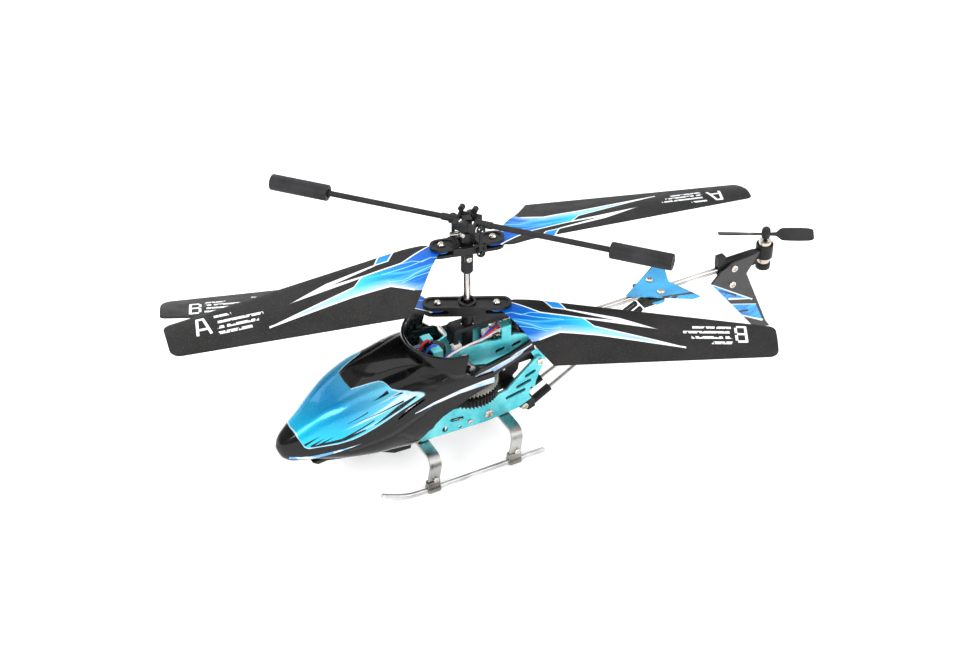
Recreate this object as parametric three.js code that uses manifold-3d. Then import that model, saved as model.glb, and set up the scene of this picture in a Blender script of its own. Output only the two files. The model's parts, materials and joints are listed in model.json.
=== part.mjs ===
// Palm-sized coaxial remote control helicopter: two contra-rotating rotors on nested shafts,
// a stabiliser bar with paddling weights, a metal twin-plate frame, a moulded canopy, a tube
// boom with a small lifting tail rotor, and landing skids. Millimetres, +X nose, +Y port, +Z up.
import * as THREE from 'three';
import { mergeVertices } from 'three/addons/utils/BufferGeometryUtils.js';
import Module from 'manifold-3d';

const wasm = await Module();
wasm.setup();

// ---------------------------------------------------------------- driving dimensions
const GAP = 0.3;                 // clearance kept between touching pieces
const ROTOR_RADIUS = 95;         // both main rotors
const LOWER_HINGE = 9.15;        // lower blade screws to the shaft axis
const UPPER_HINGE = 8.1;         // upper blade screws to the shaft axis
const UPPER_BLADE_Z = 79.2;      // mid-plane of the upper blade roots
const LOWER_BLADE_Z = 55.8;      // mid-plane of the lower blade roots
const UPPER_AZIMUTH = -12.1;     // upper blade span from +X, degrees
const LOWER_AZIMUTH = -26.5;     // lower blade span from +X, degrees
const FLYBAR_AZIMUTH = -47.5;    // stabiliser bar from +X, degrees
const BLADE_PITCH = 11.4;        // built-in pitch, leading edge up, degrees
const BLADE_DROOP = 1.2;         // degrees
const BLADE_LAG = { upperFront: 2.5, upperRear: -1.9, lowerRear: 0.5, lowerFront: -4.8 };
const FLYBAR_Z = 87.9;
const FLYBAR_RADIUS = 64;
const FEATHER_Z = 79.4;          // axis on which the upper grip feathers
const LINK_TOP_Z = 86.9;
const LINK_LOW_Z = 78.7;
const LINK_SPAN = -3.06;         // link position along the blade span
const LINK_ARM = 4.6;            // link position across the blade span
const SHAFT_R = 1.15;            // inner, steel
const SLEEVE_R = 1.8;            // outer shaft
const GEAR_MODULE = 0.4;
const GEAR_TEETH = 48;
const PINION_TEETH = 9;
const BACKLASH = 0.16;           // taken off each tooth's thickness
const INNER_GEAR_Z = [22.5, 25.5];
const OUTER_GEAR_Z = [27.0, 29.4];
const MOTOR_R = 3.65;
const PLATE_T = 0.7;             // side plate thickness
const UPPER_PLATE_Y = 4.2;       // inner face of the upper side plates
const LOWER_PLATE_Y = 5.2;       // inner face of the lower side plates
const BOOM_Z = 38;
const BOOM_R = 1.0;
const BOOM_END_X = -97;
const TAIL_X = -112.85;          // tail rotor axis
const TAIL_ROTOR_R = 16;
const TAIL_AZIMUTH = -29;
const SKID_Y = 15;               // half track
const SKID_R = 0.85;
const FOOT_X = [20.2, -9.0];
const HOOP_TOP_Z = 12.5;
const STRAP_WIDTH = 3.9;
const HOOP_RAKE = 1.4;           // how far each hoop's top sits behind its feet
const WALL = 0.9;                // canopy wall
const RIM_X = 6.4;               // centre of the canopy's round opening
const RIM_R = 14.9;
const RIM_Z = [43.4, 49.4];

// ---------------------------------------------------------------- materials
const paint = (colour, roughness, metalness) =>
  () => new THREE.MeshStandardMaterial({ color: colour, roughness, metalness });
const blackPlastic = paint(0x141416, 0.5, 0);
const glossBlack = paint(0x08080a, 0.15, 0);
const tealPlate = paint(0x3fc6d6, 0.32, 0.8);
const bladePlastic = paint(0x17181b, 0.55, 0);
const steel = paint(0xc9c9cc, 0.2, 1);
const satinAluminium = paint(0xb5b8ba, 0.35, 1);
const gearGrey = paint(0xa9a7a2, 0.6, 0);
const boardGreen = paint(0x1d5a3a, 0.5, 0);
const foilSilver = paint(0xbfc2c6, 0.4, 0.3);
const bluePaint = paint(0x1f8fe0, 0.3, 0);
const wireRed = paint(0xc41e2c, 0.5, 0);
const wireBlue = paint(0x2450b8, 0.5, 0);

// ---------------------------------------------------------------- solid helpers
const rad = THREE.MathUtils.degToRad;
const vec = (x, y, z) => new THREE.Vector3(x, y, z);

function toSolid(geometry) {
  const bare = geometry.clone();
  bare.deleteAttribute('normal');
  bare.deleteAttribute('uv');
  const merged = mergeVertices(bare, 1e-5);
  return new wasm.Manifold(new wasm.Mesh({
    numProp: 3,
    vertProperties: new Float32Array(merged.attributes.position.array),
    triVerts: new Uint32Array(merged.index.array),
  }));
}

function toGeometry(solid) {
  const mesh = solid.getMesh();
  const geometry = new THREE.BufferGeometry();
  geometry.setAttribute('position', new THREE.BufferAttribute(new Float32Array(mesh.vertProperties), 3));
  geometry.setIndex(new THREE.BufferAttribute(new Uint32Array(mesh.triVerts), 1));
  geometry.computeVertexNormals();
  return geometry;
}

const join = (...solids) => solids.reduce((all, one) => all.add(one));
const cut = (body, ...tools) => tools.reduce((all, one) => all.subtract(one), body);

function block(x, y, z) {
  const geometry = new THREE.BoxGeometry(x[1] - x[0], y[1] - y[0], z[1] - z[0]);
  return toSolid(geometry.translate((x[0] + x[1]) / 2, (y[0] + y[1]) / 2, (z[0] + z[1]) / 2));
}

function rod(from, to, radius, sides = 16, endRadius = radius) {
  const axis = to.clone().sub(from);
  const geometry = new THREE.CylinderGeometry(endRadius, radius, axis.length(), sides);
  const turn = new THREE.Quaternion().setFromUnitVectors(vec(0, 1, 0), axis.clone().normalize());
  geometry.applyQuaternion(turn);
  const middle = from.clone().add(to).multiplyScalar(0.5);
  return toSolid(geometry.translate(middle.x, middle.y, middle.z));
}

const post = (x, y, z, radius, sides = 16) => rod(vec(x, y, z[0]), vec(x, y, z[1]), radius, sides);
const pinY = (x, z, y, radius, sides = 12) => rod(vec(x, y[0], z), vec(x, y[1], z), radius, sides);

function turned(profile, sides = 24, x = 0, y = 0) {
  const points = profile.map(([r, z]) => new THREE.Vector2(r, z));
  const geometry = new THREE.LatheGeometry(points, sides);
  return toSolid(geometry.rotateX(Math.PI / 2).translate(x, y, 0));
}

// A flat outline drawn in X-Z, with its near face at y[0] and its far face at y[1].
function sidePlate(points, y) {
  const shape = new THREE.Shape(points.map(([px, pz]) => new THREE.Vector2(px, pz)));
  const geometry = new THREE.ExtrudeGeometry(shape, { depth: y[1] - y[0], bevelEnabled: false });
  return toSolid(geometry.rotateX(Math.PI / 2).translate(0, y[1], 0));
}

// A flat outline drawn in X-Y between two heights.
function flatPlate(points, z) {
  const shape = new THREE.Shape(points.map(([px, py]) => new THREE.Vector2(px, py)));
  const geometry = new THREE.ExtrudeGeometry(shape, { depth: z[1] - z[0], bevelEnabled: false });
  return toSolid(geometry.translate(0, 0, z[0]));
}

function stadium(halfLength, halfWidth, steps = 8) {
  const points = [];
  for (let end = 0; end < 2; end += 1) {
    for (let i = 0; i <= steps; i += 1) {
      const angle = -Math.PI / 2 + Math.PI * (i / steps) + end * Math.PI;
      const centre = (halfLength - halfWidth) * (end ? -1 : 1);
      points.push([centre + halfWidth * Math.cos(angle), halfWidth * Math.sin(angle)]);
    }
  }
  return points;
}

function tube(points, radius, sides = 8, steps = 40) {
  const section = new THREE.Shape();
  section.absarc(0, 0, radius, 0, 2 * Math.PI);
  const path = new THREE.CatmullRomCurve3(points, false, 'centripetal');
  const geometry = new THREE.ExtrudeGeometry(section, {
    steps, extrudePath: path, curveSegments: sides / 2, bevelEnabled: false });
  return toSolid(geometry);
}

// Closes a stack of equal rings into one solid.
function loft(rings) {
  const count = rings[0].length;
  const position = [];
  const index = [];
  rings.forEach((ring) => ring.forEach((p) => position.push(p.x, p.y, p.z)));
  for (let i = 0; i + 1 < rings.length; i += 1) {
    for (let j = 0; j < count; j += 1) {
      const a = i * count + j;
      const b = i * count + ((j + 1) % count);
      index.push(a, b, b + count, a, b + count, a + count);
    }
  }
  const centre = (ring) => ring.reduce((sum, p) => sum.add(p), vec(0, 0, 0)).divideScalar(count);
  [0, rings.length - 1].forEach((i) => {
    const middle = centre(rings[i].map((p) => p.clone()));
    const hub = position.length / 3;
    position.push(middle.x, middle.y, middle.z);
    for (let j = 0; j < count; j += 1) {
      const a = i * count + j;
      const b = i * count + ((j + 1) % count);
      index.push(...(i === 0 ? [hub, b, a] : [hub, a, b]));
    }
  });
  const geometry = new THREE.BufferGeometry();
  geometry.setAttribute('position', new THREE.Float32BufferAttribute(position, 3));
  geometry.setIndex(index);
  const solid = toSolid(geometry);
  return solid.volume() > 0 ? solid : toSolid(flipped(geometry));
}

function flipped(geometry) {
  const turnedOver = geometry.clone();
  const index = Array.from(geometry.index.array);
  for (let i = 0; i < index.length; i += 3) {
    [index[i + 1], index[i + 2]] = [index[i + 2], index[i + 1]];
  }
  turnedOver.setIndex(index);
  return turnedOver;
}

const lerp = THREE.MathUtils.lerp;
const smooth = THREE.MathUtils.smoothstep;

// Straight-line value at x from a list of [x, value, value, ...] rows, highest x first.
function along(rows, x, column) {
  const last = rows.length - 1;
  const i = Math.max(0, rows.findIndex((row, n) => n === last - 1 || rows[n + 1][0] <= x));
  const [a, b] = [rows[i], rows[i + 1]];
  return lerp(a[column], b[column], (a[0] - x) / (a[0] - b[0]));
}

// ---------------------------------------------------------------- scene graph
const model = new THREE.Group();

function add(name, solid, material, parent = model) {
  const mesh = new THREE.Mesh(toGeometry(solid), material());
  mesh.name = name;
  parent.add(mesh);
  return mesh;
}

function turntable(degrees) {
  const group = new THREE.Group();
  group.rotation.z = rad(degrees);
  model.add(group);
  return group;
}

// ---------------------------------------------------------------- side plates
const LOWER_OUTLINE = [[21.7, 15.2], [18.4, 17.1], [14.5, 19.3], [9.3, 21.8], [4.5, 21.7], [2.8, 20.6],
  [-6, 20.2], [-8.4, 21.9], [-11.4, 22.3], [-12.5, 23.6], [-17.6, 28], [-21.1, 31.1], [-22.6, 31.8],
  [-24.2, 31.2], [-24.8, 29], [-23.5, 26.3], [-21.9, 22.4], [-21.5, 20.2], [-19.7, 18.8],
  [-19.5, 17.3], [-20.4, 15.8], [-15.3, 13.5], [-10.1, 12.9], [-4.8, 12.4], [0.6, 12.4],
  [15, 13], [19.3, 12.9]];
const UPPER_OUTLINE = [[16, 34.6], [16, 41.2], [7.9, 42.2], [3.5, 44.2], [-3.5, 43.9], [-8.2, 42.9],
  [-14.6, 43.2], [-16.9, 42.5], [-20.4, 40.3], [-22.6, 38], [-26.6, 30.6], [-24.9, 28], [-22, 28.4],
  [-21.8, 31.2], [-19.6, 35.2], [-17.4, 36.1], [-8, 35.2], [4, 34.7]];
const REAR_SCREW = [-23.3, 29.8];
const BOOM_SCREW = [-21.6, 37.2];
const PINCH = [2.1, 14.6];       // screw through the lower plates near the middle

function slot(from, to, radius, y) {
  const a = vec(from[0], 0, from[1]);
  const b = vec(to[0], 0, to[1]);
  const side = b.clone().sub(a).normalize().cross(vec(0, 1, 0)).multiplyScalar(radius);
  const outline = [a.clone().add(side), b.clone().add(side), b.clone().sub(side), a.clone().sub(side)];
  return join(sidePlate(outline.map((p) => [p.x, p.z]), y),
    pinY(a.x, a.z, y, radius, 10), pinY(b.x, b.z, y, radius, 10));
}

function lowerPlate(side) {
  const y = [LOWER_PLATE_Y, LOWER_PLATE_Y + PLATE_T];
  const through = [LOWER_PLATE_Y - 1, LOWER_PLATE_Y + 2];
  const round = (x, z, r) => pinY(x, z, through, r);
  const plate = cut(sidePlate(LOWER_OUTLINE, y),
    round(...REAR_SCREW, 0.8), round(...PINCH, 0.8), round(11.1, 14.8, 1.1), round(5.7, 13.9, 0.65),
    round(16.4, 18.4, 1.9), round(-20.3, 19.9, 0.55), round(-4.8, 15.1, 0.9),
    slot([8.6, 17.6], [5.0, 17.2], 0.7, through),
    slot([-18.3, 25.5], [-21.2, 26.5], 0.65, through),
    slot([-15.2, 22.2], [-19.6, 23.3], 0.65, through),
    slot([-11.4, 19.1], [-17.6, 20.2], 0.65, through));
  return side > 0 ? plate : plate.mirror([0, 1, 0]);
}

// Upper plate with the two folded tabs that hold the motors down.
function upperPlate(side) {
  const y = [UPPER_PLATE_Y, UPPER_PLATE_Y + PLATE_T];
  const through = [UPPER_PLATE_Y - 1, UPPER_PLATE_Y + 2];
  const tab = (x, z) => join(block([x - 1.6, x + 1.6], y, [40.5, z + PLATE_T]),
    block([x - 1.6, x + 1.6], [1.9, y[1]], [z, z + PLATE_T]));
  const plate = cut(join(sidePlate(UPPER_OUTLINE, y), tab(12.6, FRONT_MOTOR_Z[1] + 0.9),
    tab(-11.4, REAR_MOTOR_Z[1] + 0.9)),
  pinY(...REAR_SCREW, through, 0.8), pinY(...BOOM_SCREW, through, 0.8), pinY(3.5, 39.9, through, 0.9),
  slot([-8.2, 38.6], [-10.4, 38.9], 0.8, through), slot([-14, 38.9], [-16.2, 39.3], 0.8, through));
  return side > 0 ? plate : plate.mirror([0, 1, 0]);
}

const FRONT_MOTOR_Z = [32.6, 44.4];
const REAR_MOTOR_Z = [32.6, 45.8];
const MOTOR_X = (GEAR_MODULE * (GEAR_TEETH + PINION_TEETH)) / 2;

add('lower_frame_left', lowerPlate(1), tealPlate);
add('lower_frame_right', lowerPlate(-1), tealPlate);
add('upper_frame_left', upperPlate(1), tealPlate);
add('upper_frame_right', upperPlate(-1), tealPlate);

// ---------------------------------------------------------------- plastic frame parts
const INSIDE = LOWER_PLATE_Y - GAP;
const BETWEEN = UPPER_PLATE_Y - GAP;

// Motor and bearing bridge: carries both motors above the gears and the outer shaft's bearing.
function coreFrame() {
  const deck = block([-25, 17], [-BETWEEN, BETWEEN], [30.1, 32.2]);
  const tower = post(0, 0, [31, 39.5], 3.1, 20);
  const posts = [-20.6, 16.4].map((x) => block([x - 1.0, x + 1.0], [-BETWEEN, BETWEEN], [30.1, 34.2]));
  const rearPad = block([-25, -21.8], [-BETWEEN, BETWEEN], [28.4, 31]);
  return cut(join(deck, tower, ...posts, rearPad), post(0, 0, [29, 41], SLEEVE_R + GAP, 20),
    post(MOTOR_X, 0, [29, 34], 1.4, 12), post(-MOTOR_X, 0, [29, 34], 2.6, 12),
    pinY(...REAR_SCREW, [-5, 5], 0.8));
}

// Cross piece that ties the lower plates and holds the foot of the inner shaft.
function bearingBlock() {
  const beam = block([-5.6, 4.2], [-INSIDE, INSIDE], [13.2, 16.4]);
  const seat = post(0, 0, [16, 19.4], 2.6, 20);
  return cut(join(beam, seat), post(0, 0, [17, 20], SHAFT_R + GAP, 16), pinY(...PINCH, [-6, 6], 0.8),
    pinY(-4.2, 15.1, [3.2, 6], 0.9));
}

function braceMount() {
  const beam = block([-19.2, -15.4], [-INSIDE, INSIDE], [14.0, 17.6]);
  const drop = sidePlate([[-15.6, 14.4], [-19.2, 14.4], [-22.4, 13.6], [-22.6, 10.6], [-20.2, 9.8],
    [-15.6, 12.8]], [-4.6, 4.6]);
  const sockets = [1, -1].map((side) => {
    const [from, to] = braceLine(side);
    const run = to.clone().sub(from).normalize();
    const tip = from.clone().addScaledVector(run, 6.8);
    return cut(rod(from.clone().addScaledVector(run, -3.2), tip, 1.35, 12),
      rod(from.clone().addScaledVector(run, 0.6), tip.clone().add(run), 0.65 + GAP, 12));
  });
  return join(beam, drop, ...sockets);
}

function braceLine(side) {
  return [vec(-22.8, side * 3.0, 12.0), vec(-63.4, side * 1.6, 33.9)];
}

function brace(side) {
  const [from, to] = braceLine(side);
  const run = to.clone().sub(from).normalize();
  return rod(from.clone().addScaledVector(run, 1.0), to, 0.65, 10);
}

function boomClamp() {
  const body = sidePlate([[-17.6, 35], [-17.6, 40], [-20, 40.6], [-27.4, 40.2], [-27.4, 35.8],
    [-22.6, 34.6]], [-BETWEEN, BETWEEN]);
  return cut(body, rod(vec(-28, 0, BOOM_Z), vec(-18.6, 0, BOOM_Z), BOOM_R + GAP, 16),
    pinY(...BOOM_SCREW, [1.8, 5], 0.8), pinY(...BOOM_SCREW, [-5, -1.8], 0.8));
}

function skidMount(x) {
  return block([x - 2.4, x + 2.4], [-INSIDE, INSIDE], [HOOP_TOP_Z + GAP, 16.2]);
}

add('core_frame', coreFrame(), blackPlastic);
add('bearing_block', bearingBlock(), blackPlastic);
add('skid_mount', skidMount(FOOT_X[0] - HOOP_RAKE), blackPlastic);
add('brace_mount', braceMount(), blackPlastic);
add('boom_clamp', boomClamp(), blackPlastic);

// ---------------------------------------------------------------- motors and gears
function gearOutline(teeth, addendum, dedendum) {
  const pitch = (GEAR_MODULE * teeth) / 2;
  const half = (Math.PI * GEAR_MODULE) / 4 - BACKLASH / 2;
  const flank = Math.tan(rad(20));
  const corner = (height, sign) => (sign * (half - height * flank)) / (pitch + height);
  const points = [];
  for (let i = 0; i < teeth; i += 1) {
    const middle = (2 * Math.PI * i) / teeth;
    [[-dedendum, -1], [addendum, -1], [addendum, 1], [-dedendum, 1]].forEach(([height, sign]) => {
      const angle = middle + corner(height, sign);
      points.push([(pitch + height) * Math.cos(angle), (pitch + height) * Math.sin(angle)]);
    });
  }
  return points;
}

const GEAR_HUB_R = 3.0;

function mainGear(z, bore, hubZ) {
  const web = flatPlate(gearOutline(GEAR_TEETH, 0.3, 0.55), z);
  const dish = turned([[4.2, z[1] - 0.8], [8.2, z[1] - 0.8], [8.2, z[1] + 1], [4.2, z[1] + 1],
    [4.2, z[1] - 0.8]], 24);
  const hub = post(0, 0, hubZ, GEAR_HUB_R, 20);
  return cut(join(cut(web, dish), hub), post(0, 0, [hubZ[0] - 1, hubZ[1] + 1], bore, 20));
}

// Motor shaft with its pinion; the first tooth space faces the main gear's tooth.
function pinionShaft(x, pinionZ, topZ) {
  const wheel = flatPlate(gearOutline(PINION_TEETH, 0.3, 0.5), pinionZ);
  const facing = x > 0 ? Math.PI + Math.PI / PINION_TEETH : Math.PI / PINION_TEETH;
  const turnedWheel = wheel.rotate([0, 0, THREE.MathUtils.radToDeg(facing)]);
  const gap = GAP + 0.1;
  return join(turnedWheel, post(0, 0, [pinionZ[0], topZ - gap], 0.5, 12)).translate([x, 0, 0]);
}

function motorCan(x, z, side) {
  const can = turned([[0, z[0]], [MOTOR_R, z[0]], [MOTOR_R, z[1] - 2.4], [MOTOR_R - 0.25, z[1] - 2.2],
    [MOTOR_R - 0.25, z[1] - 0.4], [MOTOR_R - 0.7, z[1]], [1.4, z[1]], [1.4, z[1] + 0.6], [0, z[1] + 0.6]],
  28, x);
  const flats = [1, -1].map((s) => block([x - 6, x + 6], s > 0 ? [3.35, 6] : [-6, -3.35],
    [z[0] - 1, z[1] - 2.4]));
  return cut(can, ...flats, post(x, 0, [z[0] - 1, z[0] + 6], 0.5 + GAP, 12));
}

add('front_motor', motorCan(MOTOR_X, FRONT_MOTOR_Z), steel);
add('rear_motor', motorCan(-MOTOR_X, REAR_MOTOR_Z), steel);
add('front_motor_shaft', pinionShaft(MOTOR_X, [22.3, 25.7], 38), steel);
add('rear_motor_shaft', pinionShaft(-MOTOR_X, [26.8, 29.6], 38), steel);
add('inner_gear', mainGear(INNER_GEAR_Z, SHAFT_R + GAP, [20.6, 26.0]), blackPlastic);
add('outer_gear', mainGear(OUTER_GEAR_Z, SLEEVE_R + GAP, [27.0, 29.8]), gearGrey);
add('inner_shaft', post(0, 0, [17.3, 79.4], SHAFT_R, 20), steel);
add('outer_shaft', cut(post(0, 0, [27.3, 57.2], SLEEVE_R, 20), post(0, 0, [26, 59], SHAFT_R + 0.2, 20)),
  blackPlastic);

// ---------------------------------------------------------------- main blades
const ROOT_R = 2.75;

// Chord limits at span s, measured across from the screw, trailing edge positive.
function leadingEdge(s, length) {
  const around = -Math.sqrt(Math.max(0.3, ROOT_R ** 2 - s ** 2));
  const root = s < 1.5 ? around : lerp(-2.6, -3.5, smooth(s, 1.5, 6));
  const line = lerp(-3.5, 7.7, Math.max(0, s - 6) / (length - 6));
  const corner = 1.6 * (1 - Math.sqrt(Math.max(0, 1 - Math.max(0, (s - length + 2) / 2) ** 2)));
  return (s < 6 ? root : line) + corner;
}

function trailingEdge(s, length) {
  const root = s < 1.5 ? Math.sqrt(Math.max(0.3, ROOT_R ** 2 - s ** 2)) : lerp(2.4, 23.2, (s - 1.5) / 15);
  const line = lerp(23.7, 19.6, (s - 16.5) / (length - 16.5));
  const corner = 3 * (1 - Math.sqrt(Math.max(0, 1 - Math.max(0, (s - length + 3) / 3) ** 2)));
  return (s < 16.5 ? root : line) - corner;
}

// One blade about its own screw: span along +X, trailing edge towards +Y times side.
function blade(side, hinge) {
  const length = ROTOR_RADIUS - hinge;
  const spans = [-2.6, -2.2, -1.2, 0, 1.5, 4, 6.5, 9.5, 13, 16.2, 18.5, 26, 36, 48, 60, 72,
    length - 3, length - 1.6, length - 0.5, length];
  const chordSteps = 4;
  const rings = spans.map((s) => {
    const [lead, trail] = [leadingEdge(s, length), trailingEdge(s, length)];
    const twist = Math.tan(rad(BLADE_PITCH)) * smooth(s, 3.6, 13);
    const bow = 0.5 * smooth(s, 10, 24);
    const fall = Math.tan(rad(BLADE_DROOP)) * Math.max(0, s - 3.6);
    const ring = [];
    for (let k = 0; k < 2 * chordSteps; k += 1) {
      const across = k <= chordSteps ? k / chordSteps : 2 - k / chordSteps;
      const t = lerp(lead, trail, across);
      const thick = 0.4 * (0.45 + 0.55 * Math.sin(Math.PI * Math.min(1, across + 0.12)));
      const edge = k === 0 || k === chordSteps ? 0 : 1;
      const camber = bow * Math.sin(Math.PI * across);
      const skin = (k < chordSteps ? 1 : -1) * thick * edge;
      const z = -t * twist - fall + camber + skin;
      ring.push(vec(s, side * t, z));
    }
    return ring;
  });
  return cut(loft(rings), post(0, 0, [-2, 2], 0.7 + GAP, 12));
}

function addBlade(name, azimuth, lag, z, side) {
  const hinge = side > 0 ? UPPER_HINGE : LOWER_HINGE;
  const carrier = turntable(azimuth);
  const mesh = add(name, blade(side, hinge), bladePlastic, carrier);
  mesh.position.set(hinge, 0, z);
  mesh.rotation.z = rad(side * lag);
}

addBlade('upper_blade_front', UPPER_AZIMUTH, BLADE_LAG.upperFront, UPPER_BLADE_Z, 1);
addBlade('upper_blade_rear', UPPER_AZIMUTH + 180, BLADE_LAG.upperRear, UPPER_BLADE_Z, 1);
addBlade('lower_blade_front', LOWER_AZIMUTH, BLADE_LAG.lowerFront, LOWER_BLADE_Z, -1);
addBlade('lower_blade_rear', LOWER_AZIMUTH + 180, BLADE_LAG.lowerRear, LOWER_BLADE_Z, -1);

// ---------------------------------------------------------------- lower hub
const SLOT_HALF = 0.75;          // half the height of the slot that takes a blade root

function bladeScrew(z, head) {
  const cap = turned([[0, z - 1.9], [0.7, z - 1.9], [0.7, head], [1.15, head], [1.15, head + 0.4],
    [0.75, head + 0.8], [0, head + 0.85]], 10);
  return cut(cap, block([-0.6, 0.6], [-0.14, 0.14], [head + 0.45, head + 1.2]),
    block([-0.14, 0.14], [-0.6, 0.6], [head + 0.45, head + 1.2]));
}

// Slots at both ends of a hub, each open outwards and holding one blade root.
function rootSlots(from, z) {
  const height = [z - SLOT_HALF, z + SLOT_HALF];
  return [block([from, 15], [-4, 4], height), block([-15, -from], [-4, 4], height)];
}

function lowerHub() {
  const z = LOWER_BLADE_Z;
  const bar = flatPlate(stadium(13.8, 2.95), [z - 1.6, z + 1.9]);
  const recess = flatPlate(stadium(12.9, 2.1), [z + 1.4, z + 3]);
  const slots = rootSlots(5.6, z);
  const holes = [1, -1].map((s) => post(s * LOWER_HINGE, 0, [z - 4, z + 4], 0.7 + GAP, 12));
  const boss = post(0, 0, [z - 2.2, z + 2.6], 2.8, 20);
  const bore = post(0, 0, [z - 5, z + 5], SLEEVE_R + GAP, 20);
  return cut(join(cut(bar, recess), boss), ...slots, ...holes, bore);
}

const lowerTable = turntable(LOWER_AZIMUTH);
add('lower_hub', lowerHub(), blackPlastic, lowerTable);
[['front', 1], ['rear', -1]].forEach(([end, s]) => {
  const solid = bladeScrew(LOWER_BLADE_Z, LOWER_BLADE_Z + 1.5);
  const screw = add(`lower_screw_${end}`, solid, steel, lowerTable);
  screw.position.x = s * LOWER_HINGE;
});

// ---------------------------------------------------------------- rotor head
const HEAD_TOP = 89.3;
const PIVOT_HALF = 3.9;          // flybar pivot pin, half length

// Yoke clamped on the inner shaft: feathering pins along the blades, flybar pin across the bar.
function rotorHead() {
  const collar = turned([[0, 69.4], [1.6, 69.4], [1.95, 69.8], [1.95, 73], [1.7, 73.15], [1.7, 73.35],
    [1.9, 73.5], [1.9, 77.4], [0, 77.4]], 20);
  const yoke = join(post(0, 0, [76.8, 84.4], 2.0, 20), block([-2.0, 2.0], [-1.9, 1.9], [81.4, 84.4]));
  const neck = block([-1.3, 1.3], [-1.3, 1.3], [84, HEAD_TOP]);
  const feather = rod(vec(-4.6, 0, FEATHER_Z), vec(4.6, 0, FEATHER_Z), 0.6, 12);
  const lean = rad(FLYBAR_AZIMUTH - UPPER_AZIMUTH) + Math.PI / 2;
  const across = vec(Math.cos(lean), Math.sin(lean), 0).multiplyScalar(PIVOT_HALF);
  const pivot = rod(across.clone().negate().setZ(FLYBAR_Z), across.clone().setZ(FLYBAR_Z), 0.55, 12);
  const clampEar = block([-0.9, 0.9], [1.2, 2.9], [75.4, 77.2]);
  return cut(join(collar, yoke, neck, feather, pivot, clampEar), post(0, 0, [68, 79.8], SHAFT_R + GAP, 20));
}

// Upper blade holder: two forked ends joined by rails that pass either side of the yoke.
function upperGrip() {
  const z = UPPER_BLADE_Z;
  const ends = [1, -1].map((s) => {
    const lobe = flatPlate(stadium(4.75, 2.9), [z - 1.7, z + 1.7]).translate([s * 6.95, 0, 0]);
    const wall = block(s > 0 ? [2.9, 5.1] : [-5.1, -2.9], [-3.7, 3.7], [z - 1.2, z + 1.4]);
    return join(lobe, wall);
  });
  const rails = [[2.6, 3.7], [-3.7, -2.6]].map((y) => block([-4.6, 4.6], y, [z - 1.2, z + 1.2]));
  const studs = [1, -1].map((s) => rod(vec(s * LINK_SPAN, s * 3, LINK_LOW_Z),
    vec(s * LINK_SPAN, s * (LINK_ARM + 0.95), LINK_LOW_Z), 0.42, 10));
  const recess = [1, -1].map((s) => flatPlate(stadium(3.4, 2.05), [z + 1.3, z + 3])
    .translate([s * 7.4, 0, 0]));
  const slots = rootSlots(5.1, z);
  const holes = [1, -1].map((s) => post(s * UPPER_HINGE, 0, [z - 4, z + 4], 0.7 + GAP, 12));
  const yokeRoom = block([-2.6, 2.6], [-2.6, 2.6], [z - 4, z + 4]);
  const pins = rod(vec(-5, 0, FEATHER_Z), vec(5, 0, FEATHER_Z), 0.6 + GAP, 12);
  return cut(join(...ends, ...rails, ...studs), yokeRoom, ...recess, ...slots, ...holes, pins);
}

const headTable = turntable(UPPER_AZIMUTH);
add('rotor_head', rotorHead(), blackPlastic, headTable);
add('upper_grip', upperGrip(), blackPlastic, headTable);
[['front', 1], ['rear', -1]].forEach(([end, s]) => {
  const solid = bladeScrew(UPPER_BLADE_Z, UPPER_BLADE_Z + 1.4);
  const screw = add(`upper_screw_${end}`, solid, steel, headTable);
  screw.position.x = s * UPPER_HINGE;
});

// ---------------------------------------------------------------- flybar and links
const FLYBAR_TURN = rad(UPPER_AZIMUTH - FLYBAR_AZIMUTH);
const LINK_F = LINK_SPAN * Math.cos(FLYBAR_TURN) - LINK_ARM * Math.sin(FLYBAR_TURN);
const LINK_P = LINK_SPAN * Math.sin(FLYBAR_TURN) + LINK_ARM * Math.cos(FLYBAR_TURN);
const WEIGHT_FROM = 45;

function flybar() {
  const z = FLYBAR_Z;
  const rails = [[2.5, 3.5], [-3.5, -2.5]].map((y) => block([-3.6, 3.6], y, [z - 0.9, z + 0.9]));
  const bars = [[2.6, 3.6], [-3.6, -2.6]].map((x) => block(x, [-3.5, 3.5], [z - 0.8, z + 0.8]));
  const arms = [1, -1].map((s) => join(rod(vec(s * 3, 0, z), vec(s * 8, 0, z), 1.15, 12),
    rod(vec(s * 7.5, 0, z), vec(s * (FLYBAR_RADIUS - 4), 0, z), 0.9, 10)));
  const studs = [1, -1].map((s) => join(
    block([s * LINK_F - 0.6, s * LINK_F + 0.6], s > 0 ? [-0.6, LINK_P - 0.95] : [-LINK_P + 0.95, 0.6],
      [LINK_TOP_Z - 0.6, z + 0.5]),
    rod(vec(s * LINK_F, s * 0.4, LINK_TOP_Z), vec(s * LINK_F, s * (LINK_P + 0.95), LINK_TOP_Z), 0.42, 10)));
  const knobs = [[-1.4, -3.4], [2.8, -3.2]].map(([f, p]) => join(post(f, p, [z, z + 2], 0.55, 10),
    rod(vec(f, p - 0.9, z + 2.2), vec(f, p + 0.9, z + 2.2), 0.95, 12)));
  const pivot = rod(vec(0, -5, z), vec(0, 5, z), 0.55 + GAP, 12);
  return cut(join(...rails, ...bars, ...arms, ...studs, ...knobs), pivot);
}

function flybarWeight(s) {
  const sleeve = rod(vec(s * WEIGHT_FROM, 0, FLYBAR_Z), vec(s * FLYBAR_RADIUS, 0, FLYBAR_Z), 2.55, 20);
  return cut(sleeve, rod(vec(s * (WEIGHT_FROM - 1), 0, FLYBAR_Z),
    vec(s * (FLYBAR_RADIUS - 3.5), 0, FLYBAR_Z), 0.9 + GAP, 12));
}

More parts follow.
